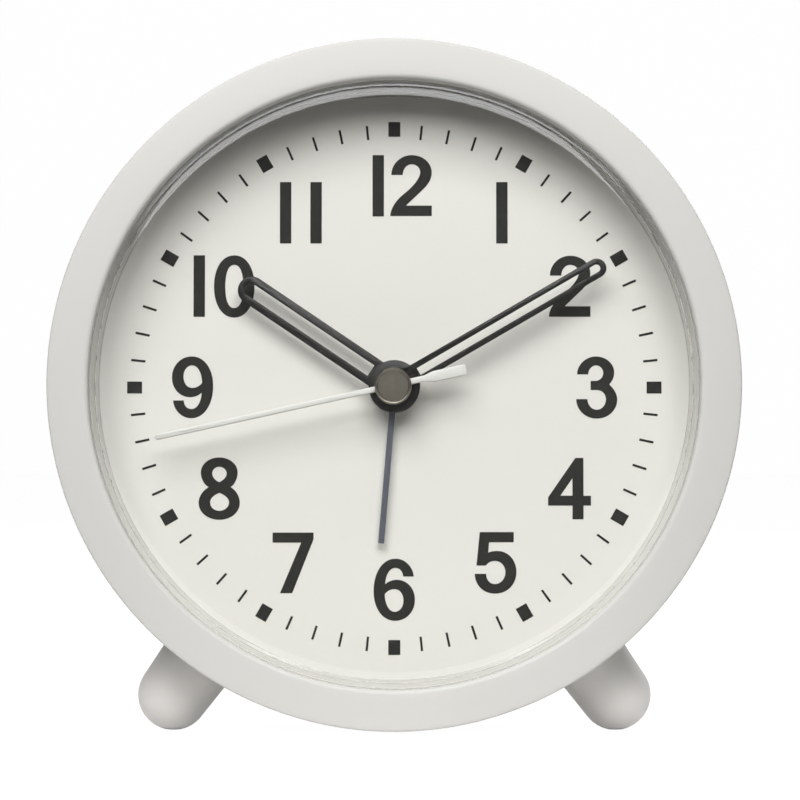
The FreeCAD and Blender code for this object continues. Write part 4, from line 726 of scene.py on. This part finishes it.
def printed_word(word, x):
    """A short word in ink on the cover's back, drawn as text and made a mesh."""
    text = bpy.data.curves.new("word_" + word.lower(), "FONT")
    text.body = word
    text.size = LETTERS["height"]
    text.align_x, text.align_y = "CENTER", "CENTER"
    text.extrude = LETTERS["rise"]
    piece = bpy.data.objects.new("word_" + word.lower(), text)
    bpy.context.collection.objects.link(piece)
    bpy.ops.object.select_all(action="DESELECT")
    bpy.context.view_layer.objects.active = piece
    piece.select_set(True)
    bpy.ops.object.convert(target="MESH")
    facing_back = Matrix.Rotation(math.pi, 4, "Z") @ Matrix.Rotation(math.pi / 2, 4, "X")
    piece.data.transform(Matrix.Translation((x, COVER_DEPTH, LETTERS["level"])) @ facing_back)
    edit(piece)
    bpy.ops.mesh.select_all(action="SELECT")
    bpy.ops.mesh.remove_doubles(threshold=0.0005)
    bpy.ops.mesh.normals_make_consistent(inside=False)
    bpy.ops.object.mode_set(mode="OBJECT")
    return piece


for word, x in WORDS.items():
    stand(printed_word(word, x), "case", ink)

# ---------------------------------------------------------------- cover screws
# Four zinc plated screws with slotted heads sit in round wells near the cover's rim.

dress(["case_screws"], bright_zinc)

# ---------------------------------------------------------------- battery door
# A flat lid in the same ABS tips on its round lower edge. Three moulded ribs below its grip groove help a
# fingertip. Two hooks at its foot and a sprung latch at its head hold it shut.

DOOR_EDGE = 0.00018
DOOR_SKIN = 38.95
GRIP_RIBS = {"half": 6.5, "width": 0.5, "rise": 0.25, "round": 0.15, "first": -26.6, "pitch": 1.3, "count": 3}

seat(eased("battery_door", DOOR_EDGE), "door", grey_abs, "case_white", replaced=["battery_door"])


def grip_rib(level):
    """One low rib across the door, with a rounded back."""
    bpy.ops.object.select_all(action="DESELECT")
    bpy.ops.mesh.primitive_cube_add(size=1, location=(0, DOOR_SKIN, level))
    piece = bpy.context.object
    bpy.ops.transform.resize(value=(2 * GRIP_RIBS["half"], 2 * GRIP_RIBS["rise"], GRIP_RIBS["width"]))
    bpy.ops.object.transform_apply(location=True, rotation=True, scale=True)
    edit(piece)
    bpy.ops.mesh.select_all(action="SELECT")
    bpy.ops.mesh.bevel(offset=GRIP_RIBS["round"], segments=2, affect="EDGES")
    bpy.ops.object.mode_set(mode="OBJECT")
    return piece


ribs = [grip_rib(GRIP_RIBS["first"] - number * GRIP_RIBS["pitch"]) for number in range(GRIP_RIBS["count"])]
stand(joined("door_grip_ribs", ribs), "door", grey_abs)

# ---------------------------------------------------------------- knobs
# Two fluted knobs of ABS in a lighter grey than the case are pushed on the setting arbors.

KNOB_EDGE = 0.00025

knob_abs, shader = finish("abs_knob_light_grey", "#E2E1DC", 0.42, ior=1.53)
grain(knob_abs, shader, tint(knob_abs, shader, "#DFDED9", "#E5E4E0", 80), 0.00022, 0.000003, (0.36, 0.48))
seat(eased("time_knob", KNOB_EDGE, segments=3), "time_setting", knob_abs, "knob_white",
     replaced=["time_knob"])
seat(eased("alarm_knob", KNOB_EDGE, segments=3), "alarm_setting", knob_abs, "knob_white",
     replaced=["alarm_knob"])

# ---------------------------------------------------------------- alarm switch
# A slide with three ribs for the thumb. Its stem runs through the cover to a keeper plate inside.

SWITCH_EDGE = 0.00012

seat(eased("alarm_switch", SWITCH_EDGE), "switch", knob_abs, "knob_white", replaced=["alarm_switch"])

# ---------------------------------------------------------------- feet
# Two tapered pegs with round ends. Their ABS is coloured lighter than the case's as painted light, which
# stands in for front light on the feet. Each has a spigot that a screw draws into the case from inside, so no
# screw shows.

# The lighter colour of the feet is painted light, not a different plastic.
foot_abs_painted_light, shader = finish("abs_foot_painted_light", "#E4E1DD", 0.5, ior=1.53)
grain(foot_abs_painted_light, shader, tint(foot_abs_painted_light, shader, "#E2DFDB", "#E6E3DF", 60), 0.00022, 0.000004, (0.46, 0.56))
dress(["left_foot", "right_foot"], foot_abs_painted_light)

# ---------------------------------------------------------------- studio
# A white sweep without a visible horizon, with a white card under the clock. A large soft lamp hangs in front
# and a second one behind, and the room adds a little. The camera stands level, 700 mm in front of the bezel.

ROOM_LIGHT = 0.04
SWEEP_GLOW = 0.98

# The rim is to measure so many pixels to a millimetre, in a picture of so many pixels.
RIM_SCALE = 6.94
PICTURE = 800
SENSOR_MILLIMETRES = 36
CAMERA_REACH = 0.7
CAMERA_ASIDE = 0.00083
CAMERA_HEIGHT = 0.04833

surround = bpy.data.worlds.new("surround")
surround.use_nodes = True
surround.node_tree.nodes["Background"].inputs["Color"].default_value = linear("#FFFFFF")
ray = add(surround, "ShaderNodeLightPath")
seen_strength = add(surround, "ShaderNodeMath",
                    {0: ray.outputs["Is Camera Ray"], 1: 1 - ROOM_LIGHT, 2: ROOM_LIGHT},
                    operation="MULTIPLY_ADD")
surround.node_tree.links.new(seen_strength.outputs[0],
                             surround.node_tree.nodes["Background"].inputs["Strength"])
bpy.context.scene.world = surround


def paper(name, bounce):
    """White paper that always looks white, and throws back as much light as its bounce colour says."""
    material = bpy.data.materials.new(name)
    material.use_nodes = True
    ray = add(material, "ShaderNodeLightPath")
    mirrored = add(material, "ShaderNodeMath",
                   {0: ray.outputs["Is Glossy Ray"], 1: ray.outputs["Is Transmission Ray"]},
                   operation="MAXIMUM")
    seen = add(material, "ShaderNodeMath", {0: ray.outputs["Is Camera Ray"], 1: mirrored.outputs[0]},
               operation="MAXIMUM")
    lighting = add(material, "ShaderNodeBsdfDiffuse", {"Color": linear(bounce)})
    shaded = add(material, "ShaderNodeBsdfDiffuse", {"Color": linear("#686868")})
    glow = add(material, "ShaderNodeEmission", {"Color": linear("#FFFFFF"), "Strength": SWEEP_GLOW})
    shown = add(material, "ShaderNodeAddShader", {0: shaded.outputs[0], 1: glow.outputs[0]})
    either = add(material, "ShaderNodeMixShader",
                 {0: seen.outputs[0], 1: lighting.outputs[0], 2: shown.outputs[0]})
    material.node_tree.links.new(either.outputs[0],
                                 material.node_tree.nodes["Material Output"].inputs["Surface"])
    return material


def sheet(name, size, place, turn, material):
    """A flat sheet of the set, which isn't part of the clock."""
    bpy.ops.object.select_all(action="DESELECT")
    bpy.ops.mesh.primitive_plane_add(size=1, location=place, rotation=(turn, 0, 0))
    piece = bpy.context.object
    piece.name = name
    piece.scale = (size[0], size[1], 1)
    piece.data.materials.append(material)


sweep_paper = paper("paper_sweep", "#585858")
sheet("floor", size=(8, 8), place=(0, 0, 0), turn=0, material=sweep_paper)
sheet("backdrop", size=(8, 8), place=(0, 2.5, 3.9), turn=math.pi / 2, material=sweep_paper)
card_paper = paper("paper_card", "#E6E6E6")
sheet("card", size=(0.24, 0.3), place=(0, 0.095, 0.0001), turn=0, material=card_paper)


def soft_lamp(name, size, power, place, target):
    """A soft rectangular lamp of so many watts at one place, aimed at another."""
    light = bpy.data.lights.new(name, "AREA")
    light.shape = "RECTANGLE"
    light.size, light.size_y = size
    light.energy = power
    lamp = bpy.data.objects.new(name, light)
    bpy.context.collection.objects.link(lamp)
    lamp.location = place
    lamp.rotation_euler = (Vector(target) - Vector(place)).to_track_quat("-Z", "Y").to_euler()


soft_lamp("soft_box", size=(0.8, 0.46), power=7.75, place=(-0.06, -0.555, 0.57), target=(0, 0, 0.05))
soft_lamp("back_box", size=(1.0, 0.5), power=6.0, place=(0.15, 0.62, 0.55), target=(0, 0.02, 0.05))

camera_data = bpy.data.cameras.new("camera")
camera_data.sensor_width = SENSOR_MILLIMETRES
camera_data.lens = SENSOR_MILLIMETRES * RIM_SCALE * CAMERA_REACH / MILLIMETRE / PICTURE
camera_data.clip_start, camera_data.clip_end = 0.05, 20
camera = bpy.data.objects.new("camera", camera_data)
bpy.context.collection.objects.link(camera)
camera.location = (CAMERA_ASIDE, AXIS_DEPTH - CAMERA_REACH, CAMERA_HEIGHT)
camera.rotation_euler = (math.pi / 2, 0, 0)
bpy.context.scene.camera = camera
bpy.context.scene.view_settings.view_transform = "Standard"
